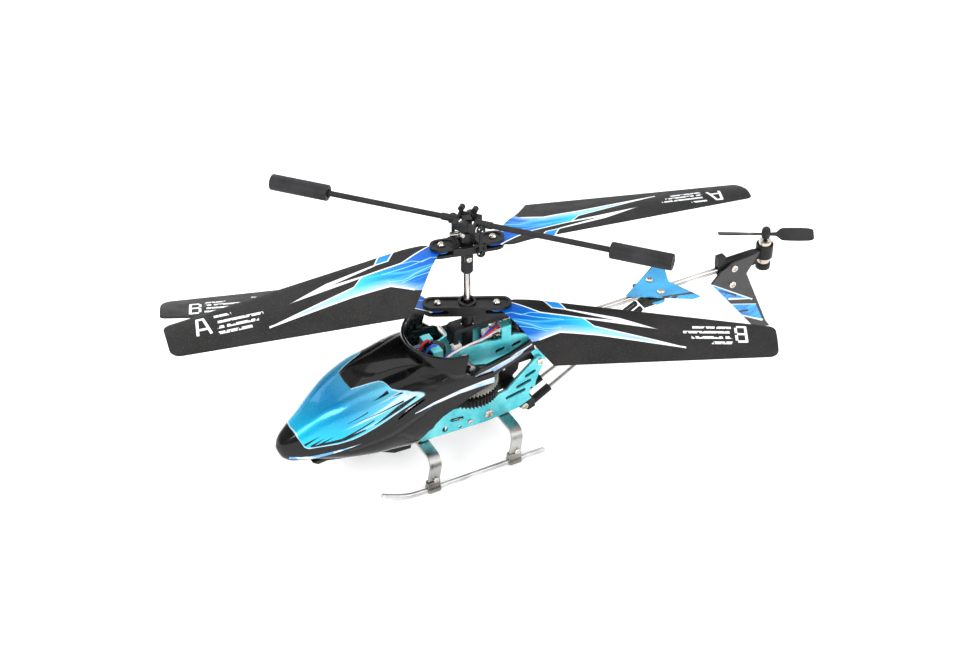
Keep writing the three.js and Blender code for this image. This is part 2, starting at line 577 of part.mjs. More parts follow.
// Dumbbell link: lower eye faces across the blades, upper eye faces across the bar.
function link() {
  const eyeR = 1.35;
  const half = 0.55;
  const top = LINK_TOP_Z - LINK_LOW_Z;
  const upper = rod(vec(0, -half, top), vec(0, half, top), eyeR, 16);
  const turnedAxis = vec(-Math.sin(FLYBAR_TURN), Math.cos(FLYBAR_TURN), 0);
  const ends = [turnedAxis.clone().multiplyScalar(-half), turnedAxis.clone().multiplyScalar(half)];
  const lower = rod(ends[0], ends[1], eyeR, 16);
  const bar = rod(vec(0, 0, 0.9), vec(0, 0, top - 0.9), 0.55, 10);
  const long = turnedAxis.clone().multiplyScalar(3);
  return cut(join(upper, lower, bar), rod(vec(0, -3, top), vec(0, 3, top), 0.9, 12),
    rod(long.clone().negate(), long, 0.9, 12));
}

const barTable = turntable(FLYBAR_AZIMUTH);
add('flybar', flybar(), blackPlastic, barTable);
[['front', 1], ['rear', -1]].forEach(([end, s]) => {
  add(`flybar_weight_${end}`, flybarWeight(s), blackPlastic, barTable);
});
[['left', 1], ['right', -1]].forEach(([end, s]) => {
  const piece = add(`link_${end}`, link(), blackPlastic, barTable);
  piece.position.set(s * LINK_F, s * LINK_P, LINK_LOW_Z);
});

// ---------------------------------------------------------------- canopy
// Station rows: x, crown height, keel height, half width, height of the widest line, boxiness.
const NOSE_STATIONS = [[66.2, 25.6, 24.2, 0.7, 24.8, 0.2], [65.2, 27.6, 21.6, 2.4, 24.4, 0.2],
  [62.5, 30.2, 19.8, 4.4, 24.4, 0.16], [58, 33.9, 19.5, 6.6, 24.6, 0.1],
  [52, 38.2, 18.8, 8.9, 25.4, 0.26], [45, 41.5, 18.0, 11.3, 26.6, 0.4],
  [37, 44.2, 17.0, 13.0, 28.2, 0.41], [31, 45.3, 16.2, 13.7, 30.0, 0.36],
  [21, 46.6, 14.9, 14.4, 32.4, 0.38], [10, 46.8, 14.9, 14.6, 34.0, 0.38],
  [-2, 46.8, 14.9, 14.4, 35.0, 0.38]];

function canopyRing(x, inset) {
  const row = [1, 2, 3, 4, 5].map((column) => along(NOSE_STATIONS, x, column));
  const [crown, keel, half, waist, square] = row;
  const count = 28;
  const ring = [];
  for (let i = 0; i < count; i += 1) {
    const angle = (2 * Math.PI * i) / count;
    const power = Math.sin(angle) > 0 ? 0.9 - square : 0.72;
    const bulge = (value, exponent) => Math.sign(value) * Math.abs(value) ** exponent;
    const y = bulge(Math.cos(angle), power) * Math.max(0.2, half - inset);
    const reach = Math.sin(angle) > 0 ? crown - waist - inset : waist - keel - inset;
    const z = waist + bulge(Math.sin(angle), 0.92 - square) * Math.max(0.2, reach);
    ring.push(vec(x, y, z));
  }
  return ring;
}

// Everything behind and below this line is open, so the frame and gears stay in view.
const CANOPY_UNDERCUT = [[70, 18.4], [48, 20.2], [27, 18.6], [23.6, 21], [16, 28.4], [5, 33.2], [-12, 38],
  [-12, 60], [2, 60], [2, 70], [-60, 70], [-60, -5], [70, -5]];
// Slanted gap between the collar's rear end and the side arm.
const COLLAR_NOTCH = [[-40, 39.2], [4.2, 39.2], [8.8, 43.4], [6.6, 51], [-40, 51]];
const ARM_OUTLINE = [[16, 28.6], [4, 32.8], [-9, 34.2], [-19.5, 35.4], [-22.6, 36.2], [-22.9, 38.6],
  [-20.5, 39.8], [-11, 38.6], [-2, 39.0], [6, 42.6], [16, 42.6]];

// Side arm: follows the plate outline, swinging in from the canopy wall to the frame.
function canopyArm(side) {
  const geometry = new THREE.ExtrudeGeometry(
    new THREE.Shape(ARM_OUTLINE.map(([x, z]) => new THREE.Vector2(x, z))), { depth: 1, bevelEnabled: false });
  geometry.rotateX(Math.PI / 2).translate(0, 1, 0);
  const place = geometry.attributes.position;
  for (let i = 0; i < place.count; i += 1) {
    place.setY(i, place.getY(i) + armY(place.getX(i)));
  }
  const arm = toSolid(geometry);
  return side > 0 ? arm : arm.mirror([0, 1, 0]);
}

function armY(x) {
  return lerp(5.3, 13.0, Math.max(0, Math.min(1, (x + 19) / 33)));
}

function canopy() {
  const stations = [66.2, 65.2, 63.6, 61, 58, 52, 45, 37, 31, 26, 21, 10, -2];
  const outer = loft(stations.map((x) => canopyRing(x, 0)));
  const hollow = loft([...stations.slice(3), -8].map((x) => canopyRing(Math.max(x, -2), WALL)
    .map((p) => vec(x, p.y, p.z))));
  const behind = sidePlate(CANOPY_UNDERCUT, [-30, 30]);
  const wellTop = post(RIM_X, 0, [RIM_Z[0] - 4.4, 60], RIM_R - WALL, 40);
  const rear = block([-40, RIM_X], [-13, 13], [RIM_Z[0] - 4.4, 60]);
  const notch = sidePlate(COLLAR_NOTCH, [-30, 30]);
  const shell = cut(outer, hollow, behind, wellTop, rear, notch);
  const lipSection = [[RIM_R - WALL, RIM_Z[0] - 2.6], [RIM_R + 0.2, RIM_Z[0] - 2.6],
    [RIM_R + 0.5, RIM_Z[0]], [RIM_R, RIM_Z[1]], [RIM_R - WALL, RIM_Z[1]], [RIM_R - WALL, RIM_Z[0] - 2.6]];
  const collar = cut(turned(lipSection, 40, RIM_X), block([-40, 4.6], [-30, 30], [30, 60]), notch);
  const vent = slot([30.6, 32.8], [22.6, 37.3], 0.55, [-30, 30]);
  const whole = join(shell, collar, canopyArm(1), canopyArm(-1));
  return cut(whole, vent, pinY(...BOOM_SCREW, [-9, 9], 0.8), pinY(0.8, 33.6, [-20, 20], 0.8));
}

// Belly tray under the canopy: battery cradle, open at the top.
function bellyTray() {
  const outline = [[56.8, 19.2], [55.0, 17.9], [51.8, 18.2], [46.8, 17.0], [34.4, 14.6], [28.9, 11.9],
    [23.2, 11.6], [22.7, 14.2], [26, 18.1], [48, 19.8]];
  return cut(sidePlate(outline, [-5.6, 5.6]), block([26.4, 47], [-4.7, 4.7], [16.6, 24]));
}

add('canopy', canopy(), glossBlack);
add('belly_tray', bellyTray(), blackPlastic);

// ---------------------------------------------------------------- electrics
function receiverBoard() {
  return join(block([21.5, 41], [-5.4, 5.4], [31.6, 32.6]), block([24, 30], [-2.6, 2.6], [32.4, 33.8]),
    block([33, 37], [-3.6, 0.4], [32.4, 33.6]), post(38.6, 3, [32.4, 35.2], 1.1, 12));
}

function switchBody() {
  return cut(block([4.3, 10.4], [INSIDE - 3.6, INSIDE], [16.5, 20.2]),
    block([4.9, 8.7], [INSIDE - 1.5, INSIDE + 2], [17.0, 17.9]));
}

add('battery', block([25, 46], [-6.5, 6.5], [20.4, 27.4]), foilSilver);
add('receiver_board', receiverBoard(), boardGreen);
add('switch_body', switchBody(), blackPlastic);
add('switch_slider', block([5.3, 6.3], [INSIDE - 1.1, LOWER_PLATE_Y + PLATE_T + 0.5], [17.25, 17.6]), steel);
add('front_motor_lead', tube([vec(12.6, -0.9, 45.8), vec(14.0, -0.4, 47.4), vec(16.8, 0.2, 45.4),
  vec(18.4, 0.2, 40), vec(19.6, -0.6, 36.4), vec(21.4, -1.2, 33.4)], 0.45, 6, 18), wireRed);
add('rear_motor_lead', tube([vec(-9.6, 2.4, 46.9), vec(-6.4, 2.9, 46.4), vec(-3.6, 3.4, 44.6),
  vec(0, 3.7, 43.2),
  vec(6.4, 3.6, 43.0), vec(8.4, 4.6, 43.2), vec(15.0, 5.9, 41.2), vec(18.8, 4.6, 38),
  vec(21.0, 2.2, 33.4)], 0.45, 6, 30), wireBlue);

// ---------------------------------------------------------------- boom and tail
function stabiliserClamp() {
  const pad = block([-71.6, -64.2], [-5.2, 5.2], [37.9, 39.0]);
  const body = join(pad, block([-71, -64.2], [-2.6, 2.6], [34.4, 38.4]));
  return cut(body, rod(vec(-73, 0, BOOM_Z), vec(-62, 0, BOOM_Z), BOOM_R + GAP, 16));
}

function stabiliser() {
  const plan = [[-58.5, 0], [-77.0, 11.4], [-79.7, 11.6], [-74.9, 0], [-79.7, -11.6], [-77.0, -11.4]];
  return flatPlate(plan, [39.3, 40.1]);
}

const FIN_Y = [1.5, 2.3];
const FIN_SCREWS = [[-99.4, 38.4], [-99.2, 31.9]];

function tailFin() {
  const outline = [[-90.8, 34.5], [-94.6, 38.8], [-99.6, 40.8], [-109.4, 41.8], [-104.7, 34.6],
    [-114.9, 11.2],
    [-117.0, 8.3], [-110.2, 10.0]];
  return cut(sidePlate(outline, FIN_Y), ...FIN_SCREWS.map(([x, z]) => pinY(x, z, [-3, 5], 0.8)));
}

// Plastic tail piece: clamps the boom, carries the fin and holds the motor in a ring.
function tailMount() {
  const spine = join(block([-109.2, -94], [-1.5, FIN_Y[0] - GAP], [36.2, 41.0]),
    block([-111, -109], [-1.2, FIN_Y[0] - GAP], [38.0, 41.0]));
  const lug = block([-96.4, -93.6], [-1.2, 1.2], [40, 43.6]);
  const drop = block([-100.6, -97.8], [-1.5, FIN_Y[0] - GAP], [30.6, 38]);
  const ring = post(TAIL_X, 0, [37.8, 42.8], 2.95, 24);
  return cut(join(spine, lug, drop, ring), post(TAIL_X, 0, [30, 50], 2.1 + GAP, 24),
    rod(vec(-92, 0, BOOM_Z), vec(BOOM_END_X - GAP, 0, BOOM_Z), BOOM_R + GAP, 16),
    pinY(...FIN_SCREWS[1], [-3, 5], 0.7));
}

function tailMotor() {
  const profile = [[0, 33.2], [2.1, 33.2], [2.5, 33.6], [2.5, 37.4], [2.1, 37.5], [2.1, 43.9],
    [1.6, 44.2], [0, 44.2]];
  return cut(turned(profile, 24, TAIL_X), post(TAIL_X, 0, [36, 46], 0.4 + GAP, 12));
}

// Two-bladed lifting rotor pressed on the motor shaft.
function tailRotor() {
  const paddle = (s) => {
    const rings = [1.0, 3.4, 5.2, 11, 14.6, TAIL_ROTOR_R].map((r, i) => {
      const chord = [1.4, 1.6, 4.6, 5.2, 4.8, 3.4][i] / 2;
      const pitch = rad(i < 2 ? 12 : 30 - r * 0.5);
      return [[-1, 0.28], [1, 0.28], [1, -0.28], [-1, -0.28]].map(([side, thick]) => vec(r,
        side * chord * Math.cos(pitch) - thick * Math.sin(pitch),
        side * chord * Math.sin(pitch) + thick * Math.cos(pitch)));
    });
    return loft(rings).rotate([0, 0, s > 0 ? 0 : 180]);
  };
  const hub = turned([[0, -1.6], [0.9, -1.6], [1.5, -0.9], [1.5, 1.2], [0.9, 1.9], [0, 1.9]], 16);
  return join(paddle(1), paddle(-1), hub, post(0, 0, [-7.4, 3.0], 0.4, 10));
}

const TAIL_ROTOR_Z = 46.6;
add('tail_boom', cut(rod(vec(-19, 0, BOOM_Z), vec(BOOM_END_X, 0, BOOM_Z), BOOM_R, 16),
  rod(vec(-18, 0, BOOM_Z), vec(BOOM_END_X - 1, 0, BOOM_Z), 0.6, 10)), steel);
add('brace_left', brace(1), steel);
add('brace_right', brace(-1), steel);
add('stabiliser_clamp', stabiliserClamp(), blackPlastic);
add('stabiliser', stabiliser(), bluePaint);
add('tail_mount', tailMount(), blackPlastic);
add('tail_fin', tailFin(), blackPlastic);
add('tail_motor', tailMotor(), steel);
const tailTable = turntable(0);
tailTable.position.set(TAIL_X, 0, TAIL_ROTOR_Z);
tailTable.rotation.z = rad(TAIL_AZIMUTH);
add('tail_rotor', tailRotor(), blackPlastic, tailTable);

// ---------------------------------------------------------------- landing gear
const CLAMP_TOP = 4.2;
const FOOT_POCKET_Z = 2.6;       // the hoop's ends stand this high inside the clamps

// Bent strap: near-vertical legs, round shoulders and a flat top, raked back with height.
function hoop(footX) {
  const thick = 0.8;
  const outline = (grow) => {
    const points = [];
    const half = SKID_Y + 0.1 + grow;
    const shoulder = 3.8 + grow;
    for (let i = 0; i <= 8; i += 1) {
      const angle = (Math.PI / 2) * (i / 8);
      points.push([half - shoulder + shoulder * Math.cos(angle),
        HOOP_TOP_Z - thick + grow - shoulder + shoulder * Math.sin(angle)]);
    }
    return points;
  };
  const both = (line) => [...line, ...line.map(([y, z]) => [-y, z]).reverse()];
  const feet = [[SKID_Y + 0.4, FOOT_POCKET_Z], [SKID_Y - 0.4, FOOT_POCKET_Z]];
  const outer = both([feet[0], ...outline(thick)]);
  const inner = both([feet[1], ...outline(0)]).reverse();
  const shape = new THREE.Shape([...outer, ...inner].map(([y, z]) => new THREE.Vector2(y, z)));
  const geometry = new THREE.ExtrudeGeometry(shape, { depth: STRAP_WIDTH, bevelEnabled: false });
  geometry.rotateX(Math.PI / 2).rotateZ(Math.PI / 2).translate(-STRAP_WIDTH / 2, 0, 0);
  const place = geometry.attributes.position;
  for (let i = 0; i < place.count; i += 1) {
    const rise = smooth(place.getZ(i), 5, HOOP_TOP_Z);
    place.setX(i, place.getX(i) + footX - HOOP_RAKE * rise);
  }
  return toSolid(geometry);
}

function skidTube(side) {
  const y = side * SKID_Y;
  const r = SKID_R;
  const points = [vec(-20.2, y, r), vec(-10, y, r), vec(5, y, r), vec(20, y, r), vec(26.4, y, r + 0.05),
    vec(29.5, y, r + 0.5), vec(38.3, y, 5.2)];
  return tube(points, r, 10, 20);
}

// Saddle over the skid tube with a pocket for the hoop's end.
function footClamp(footX, side) {
  const y = side * SKID_Y;
  const body = block([footX - 2.2, footX + 2.2], [y - 1.75, y + 1.75], [0, CLAMP_TOP]);
  const channel = join(rod(vec(footX - 5, y, SKID_R), vec(footX + 5, y, SKID_R), SKID_R + GAP, 16),
    block([footX - 5, footX + 5], [y - SKID_R - GAP, y + SKID_R + GAP], [-2, SKID_R]));
  const pocket = block([footX - 4, footX + 4], [y - 0.4 - GAP, y + 0.4 + GAP], [FOOT_POCKET_Z - GAP, 6]);
  return cut(body, channel, pocket);
}

add('front_hoop', hoop(FOOT_X[0]), satinAluminium);
add('rear_hoop', hoop(FOOT_X[1]), satinAluminium);
[['left', 1], ['right', -1]].forEach(([name, side]) => {
  add(`skid_${name}`, skidTube(side), satinAluminium);
  add(`front_clamp_${name}`, footClamp(FOOT_X[0], side), blackPlastic);
  add(`rear_clamp_${name}`, footClamp(FOOT_X[1], side), blackPlastic);
});

// ---------------------------------------------------------------- origin at the box's bottom centre
model.updateMatrixWorld(true);
const bounds = new THREE.Box3().setFromObject(model, true);
model.position.set(-(bounds.min.x + bounds.max.x) / 2, -(bounds.min.y + bounds.max.y) / 2, -bounds.min.z);

export default model;
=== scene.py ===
import json
import math
from functools import reduce

import bmesh
import bpy
from mathutils import Matrix, Vector


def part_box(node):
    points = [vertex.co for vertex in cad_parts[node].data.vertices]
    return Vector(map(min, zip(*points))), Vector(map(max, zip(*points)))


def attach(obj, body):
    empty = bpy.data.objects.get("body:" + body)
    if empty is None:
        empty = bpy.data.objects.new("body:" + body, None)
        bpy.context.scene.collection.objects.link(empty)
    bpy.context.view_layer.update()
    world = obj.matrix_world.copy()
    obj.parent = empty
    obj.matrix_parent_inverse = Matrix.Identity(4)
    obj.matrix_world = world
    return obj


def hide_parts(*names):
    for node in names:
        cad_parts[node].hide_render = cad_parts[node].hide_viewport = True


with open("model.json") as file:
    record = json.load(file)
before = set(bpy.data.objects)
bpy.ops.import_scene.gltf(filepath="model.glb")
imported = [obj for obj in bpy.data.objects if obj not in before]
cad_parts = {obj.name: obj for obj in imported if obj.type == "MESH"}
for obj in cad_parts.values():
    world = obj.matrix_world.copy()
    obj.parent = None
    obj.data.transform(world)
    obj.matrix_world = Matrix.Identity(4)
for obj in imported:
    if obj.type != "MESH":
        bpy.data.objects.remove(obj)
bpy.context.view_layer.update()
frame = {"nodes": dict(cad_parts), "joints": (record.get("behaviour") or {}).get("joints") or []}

MM = 0.001
NODES = frame["nodes"]
JOINTS = {j["name"]: j for j in frame["joints"]}
SHAFT_FOOT = 17.3                       # the inner shaft's lower end above the ground line, mm
AXIS = Vector(JOINTS["upper_rotor_spin"]["pos_m"])
AXIS.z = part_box("inner_shaft")[0].z - SHAFT_FOOT * MM
Z = Vector((0, 0, 1))


def at(x, y, z):
    """A point given in millimetres from the foot of the rotor axis."""
    return AXIS + Vector((x, y, z)) * MM


# ------------------------------------------------------------------ camera and light
def aim(obj, eye, target, roll=0.0):
    back = (eye - target).normalized()
    right = Z.cross(back).normalized()
    up = back.cross(right)
    turn = Matrix.Rotation(math.radians(roll), 3, back)
    basis = turn @ Matrix((right, up, back)).transposed()
    obj.matrix_world = Matrix.Translation(eye) @ basis.to_4x4()


CAMERA_AZIMUTH, CAMERA_ELEVATION = math.radians(62.3), math.radians(36.45)
CAMERA_DISTANCE, CAMERA_TARGET = 612.66, 60          # mm, and mm above the ground on the rotor axis
LENS_SHIFT, CAMERA_ROLL = (0.009, -0.014), 0.24       # framing to the side and up, and roll in degrees
SENSOR_WIDTH, LENS = 36, 73.685
view_dir = Vector((math.cos(CAMERA_ELEVATION) * math.cos(CAMERA_AZIMUTH),
    math.cos(CAMERA_ELEVATION) * math.sin(CAMERA_AZIMUTH), math.sin(CAMERA_ELEVATION)))
eye = at(0, 0, CAMERA_TARGET) + view_dir * CAMERA_DISTANCE * MM
side = (-view_dir).cross(Z).normalized()
tall = side.cross(-view_dir)
camera_data = bpy.data.cameras.new("photo_camera")
camera_data.sensor_width, camera_data.lens = SENSOR_WIDTH, LENS
camera_data.clip_start, camera_data.clip_end = 0.01, 20
camera = bpy.data.objects.new("photo_camera", camera_data)
bpy.context.scene.collection.objects.link(camera)
aim(camera, eye, eye - view_dir + LENS_SHIFT[0] * side + LENS_SHIFT[1] * tall, CAMERA_ROLL)
bpy.context.scene.camera = camera


def area_light(name, place, target, size, energy):
    data = bpy.data.lights.new(name, "AREA")
    data.shape = "RECTANGLE"
    data.size, data.size_y = size
    data.energy = energy
    lamp = bpy.data.objects.new(name, data)
    bpy.context.scene.collection.objects.link(lamp)
    aim(lamp, at(*place), at(*target))


area_light("nose_box", (600, 300, 470), (30, 0, 30), (0.3, 0.24), 3.2)
area_light("tail_box", (-560, 460, 520), (-40, 0, 40), (0.5, 0.4), 1.6)
area_light("far_box", (60, -760, 400), (0, 0, 40), (0.8, 0.4), 2.6)

sky = bpy.data.lights.new("sky_panel", "SUN")
sky.energy, sky.angle = 2.6, math.radians(100)
sky_lamp = bpy.data.objects.new("sky_panel", sky)
bpy.context.scene.collection.objects.link(sky_lamp)
aim(sky_lamp, at(-230, 60, 900), at(0, 0, 0))

bpy.context.scene.view_settings.view_transform = "Standard"
world = bpy.data.worlds.new("studio")
bpy.context.scene.world = world
world.use_nodes = True
backdrop = world.node_tree.nodes["Background"].inputs
backdrop["Color"].default_value = (1.0, 1.0, 1.0, 1)
backdrop["Strength"].default_value = 0.42


# ------------------------------------------------------------------ material graphs
def linear(hexa):
    """An sRGB hex colour as linear numbers."""
    raw = [int(hexa[i:i + 2], 16) / 255 for i in (0, 2, 4)]
    lin = [c / 12.92 if c <= 0.04045 else ((c + 0.055) / 1.055) ** 2.4 for c in raw]
    return (*lin, 1.0)


class Look:
    """A Principled material whose sockets are fed by a procedural graph."""

    def __init__(self, name, **sockets):
        self.material = bpy.data.materials.new(name)
        self.material.use_nodes = True
        self.tree = self.material.node_tree
        self.tree.nodes.clear()
        self.bsdf = self.tree.nodes.new("ShaderNodeBsdfPrincipled")
        out = self.tree.nodes.new("ShaderNodeOutputMaterial")
        self.tree.links.new(self.bsdf.outputs[0], out.inputs[0])
        self.place = self.node("TexCoord").outputs["Object"]
        for key, value in sockets.items():
            self.bsdf.inputs[key.replace("_", " ")].default_value = value

    def put(self, socket, value):
        if isinstance(value, bpy.types.NodeSocket):
            self.tree.links.new(value, socket)
        else:
            socket.default_value = linear(value) if isinstance(value, str) else value

    def node(self, kind, *values, **settings):
        made = self.tree.nodes.new("ShaderNode" + kind)
        for key, value in settings.items():
            setattr(made, key, value)
        for socket, value in zip(made.inputs, values):
            if value is not None:
                self.put(socket, value)
        return made

    def feed(self, socket, value):
        self.put(self.bsdf.inputs[socket], value)

    def math(self, operation, a, b=0.0):
        return self.node("Math", a, b, operation=operation).outputs[0]

    def fold(self, operation, values):
        """Joins any number of values with one operation."""
        return reduce(lambda a, b: self.math(operation, a, b), values)

    def times(self, *values):
        return self.fold("MULTIPLY", values)

    def minus(self, a, b):
        return self.math("SUBTRACT", a, b)

    def size(self, value):
        return self.math("ABSOLUTE", value)

    def mix(self, factor, a, b):
        made = self.node("Mix", data_type="RGBA")
        self.put(made.inputs[0], factor)
        self.put(made.inputs[6], a)
        self.put(made.inputs[7], b)
        return made.outputs[2]

    def remap(self, value, low, high, to_low=0.0, to_high=1.0):
        made = self.node("MapRange", value, low, high, to_low, to_high)
        return made.outputs[0]

    def scaled(self, vector, scale):
        return self.node("VectorMath", vector, scale, operation="MULTIPLY").outputs[0]

    def noise(self, size_mm, detail=3.0, stretch=(1, 1, 1)):
        vector = self.scaled(self.place, tuple(s / (size_mm * MM) for s in stretch))
        made = self.node("TexNoise", noise_dimensions="3D")
        self.put(made.inputs["Vector"], vector)
        made.inputs["Scale"].default_value = 1.0
        made.inputs["Detail"].default_value = detail
        made.inputs["Roughness"].default_value = 0.55
        return made.outputs[0]

    def cells(self, size_mm):
        made = self.node("TexVoronoi")
        self.put(made.inputs["Vector"], self.scaled(self.place, (1 / (size_mm * MM),) * 3))
        made.inputs["Scale"].default_value = 1.0
        return made.outputs["Distance"]

    def bump(self, height, depth_mm, strength=1.0):
        made = self.node("Bump")
        made.inputs["Strength"].default_value = strength
        made.inputs["Distance"].default_value = depth_mm * MM
        self.put(made.inputs["Height"], height)
        return made.outputs[0]

    def edges(self, width_mm):
        """1 near the convex and concave edges, 0 on flat faces."""
        bevel = self.node("Bevel", samples=4)
        bevel.inputs["Radius"].default_value = width_mm * MM
        true = self.node("NewGeometry").outputs["Normal"]
        dot = self.node("VectorMath", bevel.outputs[0], true, operation="DOT_PRODUCT").outputs["Value"]
        return self.remap(dot, 0.995, 0.9)

    def curve(self, value, points, reach):
        """Straight segments through (value, result) points; reach is the (value, result) full scale."""
        made = self.node("FloatCurve", 1.0, self.math("DIVIDE", value, reach[0]))
        line = made.mapping.curves[0]
        rows = sorted((x / reach[0], y / reach[1]) for x, y in points)
        rows = [(0.0, rows[0][1])] * (rows[0][0] > 0) + rows + [(1.0, rows[-1][1])] * (rows[-1][0] < 1)
        while len(line.points) < len(rows):
            line.points.new(0.5, 0.5)
        for point, row in zip(line.points, rows):
            point.location = row
            point.handle_type = "VECTOR"
        made.mapping.update()
        return self.math("MULTIPLY", made.outputs[0], reach[1])

    def polygon(self, uv1, points, soft=0.14):
        """1 inside a convex outline, from a vector that holds (u, v, 1)."""
        twice = sum(p[0] * q[1] - q[0] * p[1] for p, q in zip(points, points[1:] + points[:1]))
        sign = 1 if twice > 0 else -1
        least = None
        for p, q in zip(points, points[1:] + points[:1]):
            nx, ny = -(q[1] - p[1]) * sign, (q[0] - p[0]) * sign
            size = math.hypot(nx, ny)
            nx, ny = nx / size, ny / size
            line = (nx, ny, -(nx * p[0] + ny * p[1]))
            value = self.node("VectorMath", uv1, line, operation="DOT_PRODUCT").outputs["Value"]
            least = value if least is None else self.math("MINIMUM", least, value)
        return self.remap(least, -soft / 2, soft / 2)

    def stroke(self, uv1, a, b, wide_a, wide_b, soft=0.14):
        """A straight line from a to b that tapers from one width to the other."""
        dx, dy = b[0] - a[0], b[1] - a[1]
        size = math.hypot(dx, dy)
        nx, ny = -dy / size / 2, dx / size / 2
        outline = [(a[0] + nx * wide_a, a[1] + ny * wide_a), (a[0] - nx * wide_a, a[1] - ny * wide_a),
            (b[0] - nx * wide_b, b[1] - ny * wide_b), (b[0] + nx * wide_b, b[1] + ny * wide_b)]
        if wide_a <= 0:
            outline = [a] + outline[2:]
        if wide_b <= 0:
            outline = outline[:2] + [b]
        return self.polygon(uv1, outline, soft)

    def union(self, masks):
        return self.fold("MAXIMUM", masks)

    def strokes(self, uv1, rows, soft=0.14):
        """All the lines of a list of (from, to, first width, last width)."""
        return self.union([self.stroke(uv1, *row, soft) for row in rows])

    def lines(self, uv1, rows, wide, soft=0.14):
        """All the lines of a list of (from, to), of one width."""
        return self.strokes(uv1, [(a, b, wide, wide) for a, b in rows], soft)

    def ramp(self, value, stops):
        """Colour through a list of (position, colour)."""
        made = self.node("ValToRGB", value)
        bar = made.color_ramp.elements
        bar[0].position, bar[0].color = stops[0][0], linear(stops[0][1])
        bar[1].position, bar[1].color = stops[-1][0], linear(stops[-1][1])
        for position, colour in stops[1:-1]:
            bar.new(position).color = linear(colour)
        return made.outputs[0]

    def flat_noise(self, uv1, stretch, scale, detail=2.0):
        made = self.node("TexNoise", noise_dimensions="2D")
        self.put(made.inputs["Vector"], self.scaled(uv1, stretch))
        made.inputs["Scale"].default_value = scale
        made.inputs["Detail"].default_value = detail
        return made.outputs[0]

    def rough(self, size_mm, detail, low, high):
        self.feed("Roughness", self.remap(self.noise(size_mm, detail), 0.3, 0.7, low, high))


def moulded(name, dark, light, rough=(0.42, 0.6), grain_mm=0.35, grain=0.03, wear=0.0, **sockets):
    """Moulded plastic: slow colour drift, fine spark-eroded grain, rubbed edges."""
    look = Look(name, Specular_IOR_Level=0.3, **sockets)
    drift = look.remap(look.noise(7.0, 4), 0.35, 0.65)
    fine = look.noise(grain_mm, 2)
    colour = look.mix(drift, dark, light)
    speck = look.remap(look.noise(grain_mm * 2.5, 1), 0.62, 0.72, 0.0, 0.35)
    colour = look.mix(speck, colour, light)
    if wear:
        rub = look.times(look.edges(0.22), look.remap(look.noise(2.0, 3), 0.35, 0.7, 0.2, wear))
        colour = look.mix(rub, colour, (0.16, 0.16, 0.165, 1))
    look.feed("Base Color", colour)
    look.rough(3.0, 3, *rough)
    look.feed("Normal", look.bump(fine, grain, 0.8))
    return look.material


def metal(name, dark, light, rough=(0.18, 0.34), streak=(1, 1, 1), line_mm=0.25, depth=0.01, wear=0.0,
        wear_colour="e8f6f8", **sockets):
    """Machined or drawn metal: fine directional marks, smudges, brighter edges."""
    look = Look(name, Metallic=sockets.pop("Metallic", 1.0), **sockets)
    smudge = look.remap(look.noise(9.0, 4), 0.35, 0.68)
    lines = look.noise(line_mm, 3, streak)
    colour = look.mix(smudge, dark, light)
    colour = look.mix(look.remap(lines, 0.4, 0.75, 0.0, 0.3), colour, light)
    if wear:
        rub = look.times(look.edges(0.18), look.remap(look.noise(1.5, 3), 0.3, 0.6, 0.25, wear))
        colour = look.mix(rub, colour, wear_colour)
    look.feed("Base Color", colour)
    spread = look.math("ADD", look.times(smudge, 0.5), look.times(lines, 0.5))
    look.feed("Roughness", look.remap(spread, 0.3, 0.7, *rough))
    look.feed("Normal", look.bump(lines, depth, 0.5))
    return look.material


WHITE, PALE = "f4f8fc", "b9dcf6"
BLACK = "0b0b0c"

black_plastic = moulded("black_plastic", "0d0d0e", "1b1b1d", wear=0.5)
hub_plastic = moulded("hub_plastic", "0c0c0d", "19191b", rough=(0.34, 0.5), grain=0.015, wear=0.5)
bar_plastic = moulded("bar_plastic", "121213", "222124", rough=(0.5, 0.68), grain_mm=0.28, grain=0.05)
weight_plastic = moulded("weight_plastic", "131314", "27262a", rough=(0.5, 0.62), grain_mm=0.32, grain=0.09)
grey_nylon = moulded("grey_nylon", "8d8a83", "b5b1a8", rough=(0.45, 0.6), grain=0.02)
tail_plastic = moulded("tail_plastic", "0e0e0f", "1e1e20", rough=(0.4, 0.55), grain_mm=0.25, grain=0.03)
plate_metal = metal("plate_metal", "3cc0cd", "86ecf2", rough=(0.28, 0.4), streak=(0.25, 1, 1.4),
    line_mm=0.3, depth=0.006, wear=0.55, wear_colour="c8fbff", Metallic=0.4)
bright_steel = metal("bright_steel", "a9a39c", "e6e1da", rough=(0.1, 0.24), streak=(1, 1, 0.12),
    depth=0.004)
screw_steel = metal("screw_steel", "b3aca2", "efe9df", rough=(0.16, 0.3), line_mm=0.12, depth=0.004)
boom_steel = metal("boom_steel", "8b8784", "cfccc9", rough=(0.22, 0.36), streak=(0.08, 1, 1), depth=0.006)
skid_metal = metal("skid_metal", "b4b3b1", "eceae8", rough=(0.3, 0.45), streak=(0.08, 1, 1), depth=0.008)
hoop_metal = metal("hoop_metal", "7f7f7e", "c4c4c1", rough=(0.26, 0.42), streak=(1, 0.1, 0.1), line_mm=0.2,
    depth=0.012, wear=0.6, wear_colour="f4f4f2")
clamp_metal = metal("clamp_metal", "55524f", "a8a39e", rough=(0.2, 0.36), line_mm=0.3, depth=0.01, wear=0.5)
motor_metal = metal("motor_metal", "a79c8c", "ddd5c6", rough=(0.2, 0.36), streak=(0.4, 0.4, 1), depth=0.008)


# ------------------------------------------------------------------ mesh helpers
def finish(obj, material, body="chassis", slot=None, replaces=()):
    """Gives a piece its material and body, and hides the CAD nodes it stands for."""
    obj.data.materials.clear()
    obj.data.materials.append(material)
    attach(obj, body)
    if replaces:
        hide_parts(*replaces)


